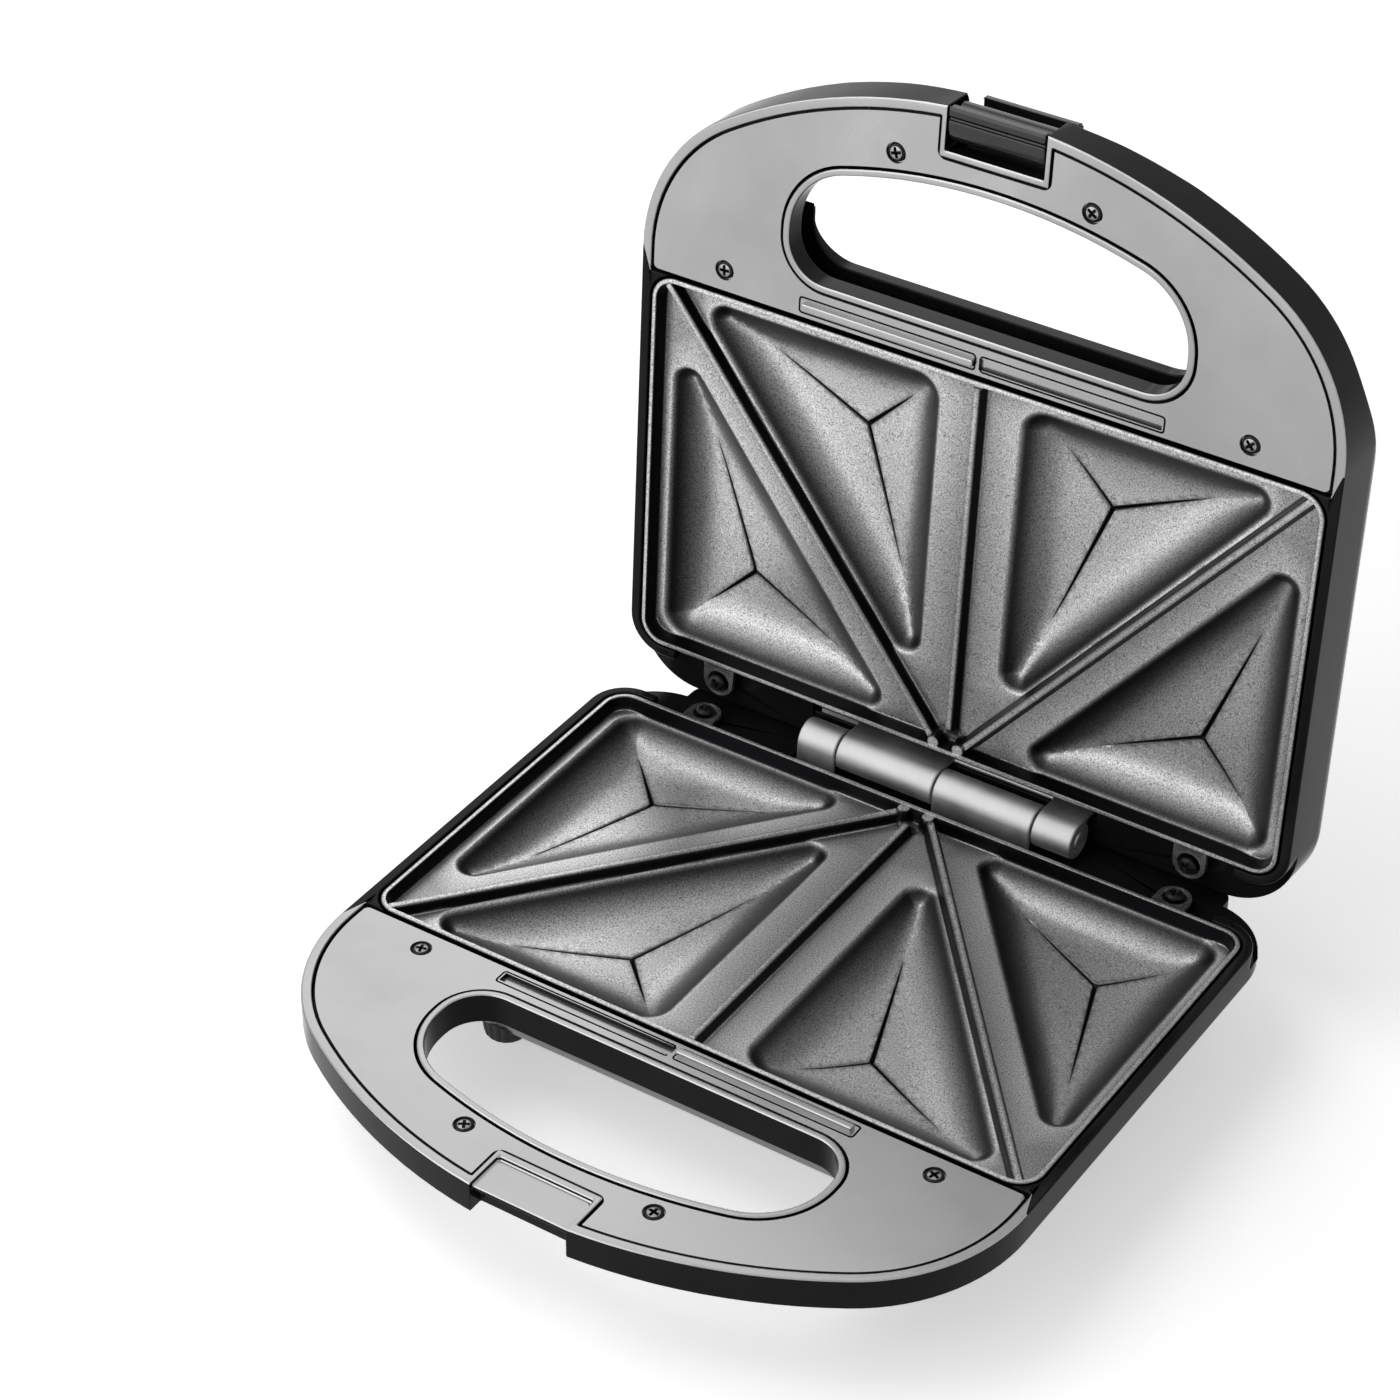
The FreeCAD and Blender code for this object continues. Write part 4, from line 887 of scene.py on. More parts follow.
def make_finishes() -> Finishes:
    """Build one material for each slot of the record, and those for single faces beside them.

    Returns:
        The materials by name.
    """
    kit: dict[str, Finish | CoatedPlate | RibbedLens] = {
        "gloss_black_plastic": Finish(
            "gloss_black_moulding", (0.006, 0.006, 0.0065), (0.010, 0.010, 0.0105), (0.11, 0.20),
            grain=1.6, depth=0.0012, specular=0.07),
        "latch_moulding": Finish(
            "latch_moulding", (0.010, 0.010, 0.0105), (0.016, 0.016, 0.0165), (0.16, 0.24),
            grain=1.6, depth=0.002, specular=0.4),
        "satin_black_plastic": Finish(
            "satin_handle_moulding", (0.30, 0.30, 0.303), (0.36, 0.36, 0.363), (0.20, 0.29),
            metallic=0.85, grain=0.5, depth=0.0018, cloud=34.0),
        "nonstick_plate": CoatedPlate(),
        "tray_sheet": Finish(
            "rolled_aluminium_sheet", (0.62, 0.62, 0.63), (0.74, 0.74, 0.75), (0.25, 0.4),
            metallic=1.0, grain=0.5, depth=0.01, cloud=12.0, stretch=(0.06, 1, 1)),
        "heater_sheath": Finish(
            "heat_stained_sheath", (0.20, 0.16, 0.13), (0.34, 0.31, 0.29), (0.35, 0.55),
            metallic=1.0, grain=0.8, depth=0.01, cloud=9.0),
        "hinge_steel": Finish(
            "brushed_plated_steel", (0.34, 0.34, 0.344), (0.46, 0.46, 0.465), (0.50, 0.60),
            metallic=1.0, grain=0.30, depth=0.0022, cloud=14.0, stretch=(0.05, 1, 1)),
        "black_screws": Finish(
            "black_zinc", (0.006, 0.006, 0.006), (0.014, 0.014, 0.015), (0.30, 0.42),
            metallic=0.3, grain=0.35, depth=0.006, cloud=1.6, specular=0.2),
        # lighter zinc for the flat of the panel screws' heads: a painted highlight on the black screws
        "screw_face": Finish(
            "painted_highlight_zinc", (0.20, 0.20, 0.203), (0.34, 0.34, 0.343), (0.26, 0.36),
            metallic=0.85, grain=0.35, depth=0.006, cloud=1.6),
        "foot_rubber": Finish(
            "foot_rubber", (0.018, 0.018, 0.018), (0.032, 0.032, 0.031), (0.62, 0.8),
            grain=0.5, depth=0.02, cloud=5.0),
        "gland_rubber": Finish(
            "gland_rubber", (0.016, 0.016, 0.017), (0.03, 0.03, 0.03), (0.55, 0.72),
            grain=0.5, depth=0.015, cloud=5.0),
        "ceramic_parts": Finish(
            "glazed_ceramic", (0.78, 0.75, 0.69), (0.86, 0.83, 0.77), (0.15, 0.3),
            grain=1.2, depth=0.006, cloud=7.0),
        "fuse_case": Finish(
            "sleeved_fuse", (0.70, 0.66, 0.58), (0.80, 0.77, 0.70), (0.5, 0.65),
            grain=0.4, depth=0.03, cloud=3.0, stretch=(1, 4, 1)),
        "lamp_glass": Finish(
            "neon_glass", (0.80, 0.62, 0.52), (0.90, 0.80, 0.72), (0.04, 0.09),
            grain=2.0, depth=0.004, cloud=3.0),
        "lamp_board": Finish(
            "lamp_board", (0.56, 0.47, 0.28), (0.66, 0.56, 0.36), (0.5, 0.62),
            grain=0.35, depth=0.02, cloud=5.0, stretch=(1, 5, 1)),
        "grey_lens": RibbedLens(
            "clear_ribbed_lens", (0.50, 0.49, 0.50), (0.36, 0.355, 0.365), 0.05),
        "green_lens": RibbedLens(
            "green_ribbed_lens", (0.19, 0.60, 0.43), (0.10, 0.42, 0.28), 0.18),
        "satin_deck": Finish(
            "satin_deck_moulding", (0.038, 0.037, 0.038), (0.046, 0.045, 0.046), (0.36, 0.44),
            grain=0.32, depth=0.008, cloud=26.0, specular=0.35),
    }
    return {slot: finish.material() for slot, finish in kit.items()}


# ----------------------------------------------------------------------------- cooking plates
@dataclass(frozen=True)
class Pocket:
    """One triangular hollow of a plate: a right angle and two sharp tips, all rounded in plan."""

    corner: Pair
    x_way: int
    y_way: int
    leg: float = 84.5
    long: float = 103.8
    square_round: float = 8.0
    tip_round: float = 5.5
    least_round: float = 0.05
    lift: float = 0.1

    @property
    def points(self) -> list[np.ndarray]:
        """The three sharp corners, the square one first."""
        cx, cy = self.corner
        return [np.array((cx, cy)), np.array((cx + self.x_way * self.leg, cy)),
                np.array((cx, cy + self.y_way * self.long))]

    @property
    def radii(self) -> Spot:
        """The rounding of each corner."""
        return self.square_round, self.tip_round, self.tip_round

    @property
    def inradius(self) -> float:
        """How far the middle lies from each wall."""
        return (self.leg + self.long - math.hypot(self.leg, self.long)) / 2

    @property
    def heart(self) -> np.ndarray:
        """The middle, where the three facets of the floor meet."""
        cx, cy = self.corner
        return np.array((cx + self.x_way * self.inradius, cy + self.y_way * self.inradius))

    def mirrored(self) -> Pocket:
        """Give the same pocket on the other side of the middle."""
        return replace(self, corner=(-self.corner[0], self.corner[1]), x_way=-self.x_way)

    def _walls(self) -> list[tuple[np.ndarray, np.ndarray]]:
        """Find the three walls.

        Returns:
            A point on each wall and its direction inwards.
        """
        corners = self.points
        walls = []
        for a, b in zip(corners, corners[1:] + corners[:1]):
            along = unit(b - a)
            inwards = np.array((-along[1], along[0]))
            walls.append((a, -inwards if (self.heart - a) @ inwards < 0 else inwards))
        return walls

    def inset(self, x: np.ndarray, y: np.ndarray) -> np.ndarray:
        """Measure how far points lie inside the rounded outline.

        Args:
            x: Places across.
            y: Places from front to back.

        Returns:
            The distances; outside they are negative.
        """
        corners = self.points
        spot = np.stack([x, y], axis=-1)
        depth = np.full(x.shape, np.inf)
        for start, inwards in self._walls():
            depth = np.minimum(depth, (spot - start) @ inwards)
        for i, radius in enumerate(self.radii):
            to_next = unit(corners[(i + 1) % 3] - corners[i])
            to_last = unit(corners[i - 1] - corners[i])
            half = math.acos(float(to_next @ to_last)) / 2
            centre = corners[i] + unit(to_next + to_last) * radius / math.sin(half)
            away = spot - centre
            near = (away @ to_next < 0) & (away @ to_last < 0)
            depth = np.where(near, radius - np.linalg.norm(away, axis=-1), depth)
        return depth

    def sink(self, x: np.ndarray, y: np.ndarray, wall: tuple[np.ndarray, np.ndarray],
             blend: float) -> np.ndarray:
        """Give the depth of the hollow, with its three walls flowing into each other.

        Args:
            x: Places across.
            y: Places from front to back.
            wall: Way in from the edge, and the depth there.
            blend: How softly the walls meet, in millimetres of depth.

        Returns:
            The depths.
        """
        total = np.zeros_like(x)
        for start, inwards in self._walls():
            away = (x - start[0]) * inwards[0] + (y - start[1]) * inwards[1]
            total += np.exp(-np.interp(away, *wall) / blend)
        hard = np.interp(self.inset(x, y), *wall)
        soft = -blend * np.log(total) + self.lift * blend
        return np.where(hard > 0, np.clip(soft, 0, hard), 0.0)

    def ring(self, inset: float, step: float = 2.0) -> Loop:
        """Draw the outline moved inwards.

        Args:
            inset: How far; negative is outwards.
            step: Greatest distance between two points on a straight run.

        Returns:
            The points, counter-clockwise.
        """
        share = (self.inradius - inset) / self.inradius
        corners = [self.heart + (p - self.heart) * share for p in self.points]
        radii = [max(radius - inset, self.least_round) for radius in self.radii]
        if self.x_way * self.y_way < 0:
            corners, radii = corners[::-1], radii[::-1]
        return rounded(corners, radii, step)


@dataclass
class CookingPlate:
    """Pressed plate with four pockets, three ridges, a raised lip and two fixing tabs.

    The lip's top is a level above the parting plane, and a name with low is a drop from it or
    from the lip's rise.  A land is the flat left beside a pocket.
    """

    half: float = 110.0
    deep: float = 127.0
    back: float = 96.5
    corner: float = 8.0
    lip_top: float = -0.3
    lip_rise: float = 4.5
    lip_wide: float = 2.0
    lip_round: float = 0.7
    draft: float = 0.9
    shoulder: float = 0.55
    ridge_low: float = 1.0
    ridge_wide: float = 2.8
    ridge_start: float = 4.2
    ridge_slope: float = 1.21
    ridge_back: float = 2.9
    ridge_gap: float = 4.4
    ridge_end: float = 1.0
    knob: float = 2.3
    knob_low: float = 0.1
    knob_in: float = 1.0
    skin: float = 2.2
    thin: float = 0.9
    depth: float = 9.0
    blend: float = 0.9
    side_land: float = 6.0
    rear_land: float = 2.8
    middle_land: float = 13.5
    crease_share: float = 0.56
    crease_deep: float = 1.1
    crease_wide: Pair = (0.2, 0.8)
    crease_curve: float = 0.7
    crease_start: float = -0.3
    tab: Pair = (82.0, 6.9)
    tab_half: float = 5.3
    tab_low: float = 2.2
    tab_thick: float = 2.0
    tab_lap: float = 1.2
    tab_trim: float = 0.7
    tab_edge: float = 0.35

    # radius and level of the screw dish in a tab, from below
    DISH = ((1.8, THROUGH), (1.8, -1.2), (3.5, -1.0), (3.9, 0.0), (4.2, OVERCUT))
    # slope of a pocket's wall against the way in from its edge: round lip, steep wall, long curve
    WALL_WAY = (-1.2, -0.5, 0.2, 0.9, 2.0, 3.5, 5.5, 8.0, 11.0, 14.0, 18.0, 22.0, 27.2)
    WALL_SLOPE = (0.0, 0.28, 0.80, 1.15, 1.15, 1.04, 0.86, 0.64, 0.42, 0.26, 0.13, 0.06, 0.03)
    # how far each line of the mesh lies from the edge, ridge, knob, pocket outline or crease
    LIP_LINES = (0.0, 0.12, 0.35, 0.7, 1.3, 1.52, 1.75, 2.05, 2.35, 2.65, 2.95)
    RIDGE_LINES = (-2.4, -2.0, -1.75, -1.5, -1.25, -0.9, 0.0, 0.9, 1.25, 1.5, 1.75, 2.0, 2.4)
    KNOB_LINES = (0.8, 1.5, 1.9, 2.3, 2.7, 3.1)
    POCKET_LINES = (-1.1, -0.7, -0.35, 0.0, 0.35, 0.75, 1.2, 1.7, 2.3, 3.0, 3.8, 4.8, 6.0, 7.5, 9.2,
                    11.0, 13.0, 15.0, 17.0, 19.0, 21.0, 23.0, 24.8, 26.2)
    CREASE_LINES = (-0.8, -0.4, 0.0, 0.4, 0.8)
    # step along straight lines, steps round a knob and along a crease, and what counts as one point
    LINE_STEP = 2.5
    KNOB_STEPS = 20
    CREASE_STEPS = 26
    MERGE = 0.02
    # a crease's lines start this share of their distance ahead and close in to this share of it
    CREASE_LEAD = 0.6
    CREASE_CLOSE = 0.25
    # share of the pockets' depth above which the underside follows the face
    SUNK = 0.003
    # painted shade on the coating, darkest on tilted walls, creases, tabs and screw dishes: for the tilt, where it
    # starts, how fast it grows, its curve and its most
    TILT_SHADE = (0.988, 0.24, 0.7, 0.985)
    UPRIGHT_SHADE = (0.62, 0.2)
    CREASE_SHADE = (0.5, 0.97)
    DISH_SHADE = 0.97
    TAB_SHADE = 0.55
    TAB_FLAT = 0.96
    TAB_PLAY = 0.15

    def __post_init__(self) -> None:
        """Work out the pockets and the depth table of their walls."""
        self.front = self.back - self.deep
        self.land = PARTING + self.lip_top - self.lip_rise
        rear = Pocket((-self.half + self.side_land, self.back - self.rear_land), 1, -1)
        front = Pocket((-self.middle_land, self.front + self.side_land), -1, 1)
        self.pockets = [rear, rear.mirrored(), front, front.mirrored()]
        fine = np.linspace(self.WALL_WAY[0], self.WALL_WAY[-1], 400)
        slope = np.interp(fine, self.WALL_WAY, self.WALL_SLOPE)
        drop = np.concatenate([[0], np.cumsum((slope[1:] + slope[:-1]) / 2 * np.diff(fine))])
        self.wall = (fine, drop * self.depth / drop[-1])

    def _ridges(self) -> list[tuple[np.ndarray, np.ndarray]]:
        """Find the middle line of each ridge.

        Returns:
            The two ends of each.
        """
        start_y = self.back + self.ridge_back
        end_y = self.front + self.ridge_end
        ends = []
        for way in (1, -1):
            start = (way * self.ridge_start, start_y - self.ridge_slope * self.ridge_start)
            end = (way * (start_y - end_y) / self.ridge_slope, end_y)
            ends.append((np.array(start), np.array(end)))
        middle = (0.0, self.back - self.ridge_start - self.ridge_gap)
        ends.append((np.array(middle), np.array((0.0, end_y))))
        return ends

    def _knobs(self) -> list[Pair]:
        """Give the middles of the two knobs that end the ridges behind."""
        return [(way * self.ridge_start, self.back - self.lip_wide - self.knob_in)
                for way in (-1, 1)]

    def _edge(self, x: np.ndarray, y: np.ndarray) -> np.ndarray:
        """Measure how far points lie inside the plate's outline.

        Args:
            x: Places across.
            y: Places from front to back.

        Returns:
            The distances; outside they are negative.
        """
        a = np.abs(x) - (self.half - self.corner)
        b = np.abs(y - (self.back + self.front) / 2) - (self.deep / 2 - self.corner)
        out = np.hypot(np.maximum(a, 0), np.maximum(b, 0)) + np.minimum(np.maximum(a, b), 0)
        return self.corner - out

    def _fall(self, away: np.ndarray, half: float) -> np.ndarray:
        """Give the share of a rib's height, with rounded shoulders and foot.

        Args:
            away: Distance from the rib's middle line.
            half: Half the width of the rib.

        Returns:
            One on top of the rib, nought on the land.
        """
        start = half - self.draft * self.shoulder
        t = np.clip((away - start) / (self.draft * (1 + self.shoulder)), 0, 1)
        return 1 - t * t * (3 - 2 * t)

    def _creases(self, pocket: Pocket, x: np.ndarray, y: np.ndarray) -> np.ndarray:
        """Sink the three short creases that run from a pocket's middle towards its corners.

        Args:
            pocket: The pocket.
            x: Places across.
            y: Places from front to back.

        Returns:
            The depth of the creases.
        """
        cut = np.zeros_like(x)
        narrow, broad = self.crease_wide
        dx, dy = x - pocket.heart[0], y - pocket.heart[1]
        for corner in pocket.points:
            reach = float(np.linalg.norm(corner - pocket.heart)) * self.crease_share
            along = unit(corner - pocket.heart)
            t = dx * along[0] + dy * along[1]
            away = np.abs(dx * along[1] - dy * along[0])
            share = np.clip(1 - t / reach, 0, 1)
            wide = narrow + (broad - narrow) * share
            deep = self.crease_deep * share ** self.crease_curve
            groove = deep * np.clip(1 - away / wide, 0, 1)
            cut = np.maximum(cut, np.where(t > self.crease_start, groove, 0))
        return cut

    def height(self, x: np.ndarray, y: np.ndarray) -> np.ndarray:
        """Give the height of the upper face.

        Args:
            x: Places across.
            y: Places from front to back.

        Returns:
            The heights, in the closed frame.
        """
        edge = self._edge(x, y)
        rise = self._fall(edge, self.lip_wide) * self.lip_rise
        for start, end in self._ridges():
            along, length = unit(end - start), float(np.linalg.norm(end - start))
            dx, dy = x - start[0], y - start[1]
            t = np.clip(dx * along[0] + dy * along[1], 0, length)
            away = np.hypot(dx - t * along[0], dy - t * along[1])
            ridge = self._fall(away, self.ridge_wide / 2) * (self.lip_rise - self.ridge_low)
            rise = np.maximum(rise, ridge)
        for knob_x, knob_y in self._knobs():
            away = np.hypot(x - knob_x, y - knob_y)
            rise = np.maximum(rise, self._fall(away, self.knob) * (self.lip_rise - self.knob_low))
        sink = np.zeros_like(x)
        for pocket in self.pockets:
            hollow = pocket.sink(x, y, self.wall, self.blend) + self._creases(pocket, x, y)
            sink = np.maximum(sink, hollow)
        over = np.clip(self.lip_round - edge, 0, self.lip_round)
        worn = self.lip_round - np.sqrt(np.maximum(self.lip_round ** 2 - over ** 2, 0))
        return self.land + rise - sink - worn

    def _rows(self) -> list[tuple[Loop, bool]]:
        """Collect the lines that the mesh follows.

        Returns:
            The points of each line, with a mark for a closed one.
        """
        rows: list[tuple[Loop, bool]] = []
        for inset in self.LIP_LINES:
            outline = rect(-self.half + inset, self.half - inset, self.front + inset,
                           self.back - inset, max(self.corner - inset, 0.5), self.LINE_STEP)
            rows.append((outline, True))
        for start, end in self._ridges():
            along = unit(end - start)
            side = np.array((-along[1], along[0]))
            count = int(np.linalg.norm(end - start) // self.LINE_STEP)
            rows += [(run(start + side * away, end + side * away, count), False)
                     for away in self.RIDGE_LINES]
        for knob in self._knobs():
            rows += [(arc(knob, radius, 0, FULL_TURN, self.KNOB_STEPS), True)
                     for radius in self.KNOB_LINES]
        for pocket in self.pockets:
            rows += [(pocket.ring(inset), True) for inset in self.POCKET_LINES]
            for corner in pocket.points:
                along = unit(corner - pocket.heart)
                side = np.array((-along[1], along[0]))
                reach = float(np.linalg.norm(corner - pocket.heart)) * self.crease_share
                far = pocket.heart + along * reach
                for away in self.CREASE_LINES:
                    near = pocket.heart + side * away + along * self.CREASE_LEAD * abs(away)
                    end = far + side * away * self.CREASE_CLOSE
                    rows.append((run(near, end, self.CREASE_STEPS), False))
        return rows

    def _thicken(self, draft: Draft) -> bpy.types.Object:
        """Close the pressed face with a skirt and an underside that follows it.

        Args:
            draft: The pressed face.

        Returns:
            The plate without its tabs.
        """
        mesh = draft.mesh
        bmesh.ops.recalc_face_normals(mesh, faces=mesh.faces)
        if sum(face.normal.z for face in mesh.faces) < 0:
            bmesh.ops.reverse_faces(mesh, faces=mesh.faces)
        everything = list(mesh.verts) + list(mesh.edges) + list(mesh.faces)
        copied = bmesh.ops.duplicate(mesh, geom=everything)["geom"]
        for vert in (item for item in copied if isinstance(item, bmesh.types.BMVert)):
            sunk = min(max((self.land - vert.co.z) / self.depth, 0.0), 1.0)
            if sunk > self.SUNK:
                vert.co.z = vert.co.z - self.skin + (self.skin - self.thin) * sunk
            else:
                vert.co.z = self.land - self.skin
        under = [item for item in copied if isinstance(item, bmesh.types.BMFace)]
        bmesh.ops.reverse_faces(mesh, faces=under)
        bmesh.ops.bridge_loops(mesh, edges=[edge for edge in mesh.edges if edge.is_boundary])
        return draft.object()

    def _add_tabs(self, plate: bpy.types.Object, top: float) -> None:
        """Join the two fixing tabs behind the plate, each with a dished screw hole.

        Args:
            plate: The plate.
            top: Level of the tabs' upper faces.
        """
        turn = self.tab_half - 0.1
        for way in (-1, 1):
            x, y = way * self.tab[0], self.back + self.tab[1]
            left, right = x - self.tab_half, x + self.tab_half
            near, end = self.back - self.tab_lap, y + self.tab_half - self.tab_trim
            outline = rounded([(left, near), (right, near), (right, end), (left, end)],
                              [0, 0, turn, turn], 1.0)
            tab = Draft("tab").prism([outline], top - self.tab_thick, top).object()
            carve(tab, Draft("dish").lathe(self.DISH, (x, y, top)).object())
            carve(plate, soften(tab, self.tab_edge, 2), Join.FUSE)

    def _paint_shade(self, mesh: bpy.types.Mesh, top: float) -> None:
        """Write the painted shade of each point: walls, creases and screw dishes are painted darkest, the tabs'
        flats about half as dark.

        Args:
            mesh: The plate's mesh with its tabs.
            top: Level of the tabs' upper faces.
        """
        spots, ways = np.zeros((2, len(mesh.vertices) * 3), dtype=np.float32)
        mesh.vertices.foreach_get("co", spots)
        mesh.vertex_normals.foreach_get("vector", ways)
        level = np.abs(ways[2::3])
        # painted shade that grows as the surface tilts, then along upright walls and in the creases
        start, span, curve, most = self.TILT_SHADE
        tilted = most * np.clip((start - level) / span, 0, 1) ** curve
        start, span = self.UPRIGHT_SHADE
        painted_shade = np.maximum(tilted, np.clip((start - level) / span, 0, 1))
        for pocket in self.pockets:
            cut = self._creases(pocket, spots[0::3].astype(float), spots[1::3].astype(float))
            painted_shade = np.maximum(painted_shade, np.clip(cut / self.CREASE_SHADE[0], 0, self.CREASE_SHADE[1]))
        # painted shade on the tabs: flats about half dark, screw dishes darkest, rounded edges left light
        flat = np.where(level > self.TAB_FLAT, self.TAB_SHADE, 0.0)
        tab = np.where(spots[2::3] < top - self.TAB_PLAY, self.DISH_SHADE, flat)
        painted_shade = np.where(spots[1::3] > self.back + self.tab_lap, tab, painted_shade)
        # the painted shade is stored on the points for the coating's material to read
        shade = mesh.attributes.new("painted_shade", "FLOAT", "POINT")
        shade.data.foreach_set("value", painted_shade.astype(np.float32))

    def build(self, name: str) -> bpy.types.Object:
        """Draw the plate with its tabs.

        Args:
            name: Name of the piece.

        Returns:
            The plate, in closed-frame millimetres.
        """
        points: list[Loop] = []
        edges: list[tuple[int, int]] = []
        start = 0
        for line, closed in self._rows():
            count = len(line)
            points.append(line)
            edges += [(start + i, start + i + 1) for i in range(count - 1)]
            if closed:
                edges.append((start + count - 1, start))
            start += count
        flat = [Vector(p) for p in np.concatenate(points)]
        spots, _, faces, *_ = delaunay_2d_cdt(flat, edges, [], 0, self.MERGE)
        xy = np.array([(p.x, p.y) for p in spots])
        levels = self.height(xy[:, 0], xy[:, 1])
        draft = Draft(name)
        top = [draft.mesh.verts.new((x, y, z)) for (x, y), z in zip(xy, levels)]
        for face in faces:
            draft.mesh.faces.new([top[i] for i in face])
        plate = self._thicken(draft)
        tab_top = PARTING + self.lip_top - self.tab_low
        self._add_tabs(plate, tab_top)
        self._paint_shade(plate.data, tab_top)
        return plate


# ----------------------------------------------------------------------------- handle panels
@dataclass
class HandlePanel:
    """Inner face of a handle: a D-shaped plate with opening, latch notch, one rib and one slot.

    The key is the rib, which stands in the slot of the other half when the lid is shut.
    """

    outline: DShape = DShape(110.3, 52.5, 160.5, 107.6, -31.5, 2.0)
    opening: DShape = DShape(66.5, 25.0, 174.5, 89.0, -41.3, 15.0)
    top: float = -0.8
    thick: float = 2.2
    groove: float = 0.5
    notch_half: float = 17.5
    notch_back: float = -94.5
    notch_front: float = -130.0
    notch_round: float = 2.8
    key: Pair = (1.0, 58.0)
    key_back: float = -35.7
    key_thick: float = 2.3
    key_tall: float = 1.6
    key_fit: float = 0.6
    key_deep: float = 1.3
    key_root: float = 0.2
    key_edge: float = 0.4
    line_off: tuple[float, float, float, float] = (1.6, 0.4, 1.7, 1.5)
    line_wide: float = 0.6
    line_deep: float = 0.5
    line_round: Pair = (1.2, 0.7)
    line_step: float = 0.5
    framed: Pair = (61.0, 4.2)
    edge: float = 0.3
    seats: tuple[Pair, ...] = ((85.3, -38.5), (31.0, -91.7))
    seat: float = 3.2
    seat_deep: float = 1.4
    hole: float = 1.8

    @property
    def _key_sides(self) -> Pair:
        """Front and back of the rib."""
        return self.key_back - self.key_thick / 2, self.key_back + self.key_thick / 2

    def _grooves(self, high: float) -> list[bpy.types.Object]:
        """Draw the fine grooves that frame the slot and the rib.

        Args:
            high: Level of the panel's face.

        Returns:
            One tool for each frame.
        """
        outside, inside, ahead, behind = self.line_off
        near, far = self.key[0] - inside, self.key[1] + outside
        front, back = self._key_sides[0] - ahead, self._key_sides[1] + behind
        wide = self.line_wide
        tools = []
        for x0, x1 in ((-far, -near), (near, far)):
            outer = rect(x0, x1, front, back, self.line_round[0], self.line_step)
            inner = rect(x0 + wide, x1 - wide, front + wide, back - wide, self.line_round[1],
                         self.line_step)
            line = Draft("line").prism([outer, inner[::-1]], high - self.line_deep, high + OVERCUT)
            tools.append(line.object())
        return tools

    def build(self, name: str) -> bpy.types.Object:
        """Draw the panel.

        Args:
            name: Name of the piece.

        Returns:
            The panel, in closed-frame millimetres.
        """
        high = PARTING + self.top
        low = high - self.thick
        near, far = self.key
        front, back = self._key_sides
        outer, inner = self.outline.grown(-self.groove), self.opening.grown(self.groove)
        panel = Draft(name).prism([outer.walk(), inner.walk()[::-1]], low, high).object()
        wide, deep = self.notch_half + self.groove, self.notch_back + self.groove
        notch = rounded([(-wide, self.notch_front), (wide, self.notch_front), (wide, deep),
                         (-wide, deep)], [0, 0, self.notch_round, self.notch_round], 1.0)
        carve(panel, Draft("notch").prism([notch], low - OVERCUT, high + OVERCUT).object())
        slot = rect(-far - self.key_fit, -near + self.key_fit, front - self.key_fit,
                    back + self.key_fit)
        carve(panel, Draft("slot").prism([slot], high - self.key_deep, high + OVERCUT).object())
        for tool in self._grooves(high):
            carve(panel, tool)
        sink = [(self.hole, THROUGH), (self.hole, -self.seat_deep), (self.seat, -self.seat_deep),
                (self.seat, OVERCUT)]
        for x, y in self.seats:
            for way in (-1, 1):
                carve(panel, Draft("seat").lathe(sink, (way * x, y, high)).object())
        soften(panel, self.edge)
        rib = Draft("rib").prism([rect(near, far, front, back)], low + self.key_root,
                                 high + self.key_tall)
        return carve(panel, soften(rib.object(), self.key_edge), Join.FUSE)

    def groove_gets_painted_shade(self, spot: Vector, way: Vector) -> bool:
        """Tell whether a face belongs to a fine groove or to the walls of the slot; these faces are painted gloss
        black as painted shade.

        Args:
            spot: The face's middle, in the closed frame.
            way: Its outward direction.

        Returns:
            True if it does.
        """
        sunk = abs(spot.z - PARTING) + self.top
        framed = abs(spot.x) < self.framed[0] and abs(spot.y - self.key_back) < self.framed[1]
        upright, shallow = abs(way.z) < 0.5, sunk < 0.9
        return framed and 0.1 < sunk < self.key_deep + 0.05 and (upright or shallow)


# ------------------------------------------------------------------------------------ screws
@dataclass(frozen=True)
class CrossScrew:
    """Pan-head screw with a cross recess, which narrows to a share of its size at the foot."""

    head: float = 2.9
    tall: float = 1.6
    shank: float = 1.5
    long: float = 6.0
    point: Pair = (0.55, 0.6)
    arm: float = 2.0
    width: float = 1.05
    deep: float = 1.3
    foot: Pair = (0.45, 0.6)

    # share of the head's radius, and drop from its top
    CROWN = ((0, 0), (0.35, 0.03), (0.65, 0.16), (0.86, 0.45), (0.97, 0.85), (1, 1.2))

    def build(self, name: str) -> bpy.types.Object:
        """Draw the screw standing on +Z, with the underside of its head at the origin.

        Args:
            name: Name of the screw.

        Returns:
            The screw, in millimetres.
        """
        profile = [(self.head * share, self.tall - drop) for share, drop in self.CROWN]
        profile += [(self.head, 0.05), (self.head - 0.1, 0.0), (self.shank, 0.0),
                    (self.shank, -self.long + self.point[1]),
                    (self.shank * self.point[0], -self.long), (0, -self.long)]
        screw = Draft(name).lathe(profile, (0, 0, 0), count=40).object()
        a, b = self.arm, self.width / 2
        c, d = a * self.foot[0], b * self.foot[1]
        top, foot = rect(-a, a, -b, b), rect(-c, c, -d, d)
        levels = (self.tall - self.deep, self.tall + 0.3)
        for _ in range(2):
            rings = [np.column_stack([ring, np.full(4, z)]) for ring, z in zip((foot, top), levels)]
            carve(screw, Draft("cross").rings(rings).object())
            top, foot = top[:, ::-1][::-1], foot[:, ::-1][::-1]
        return screw


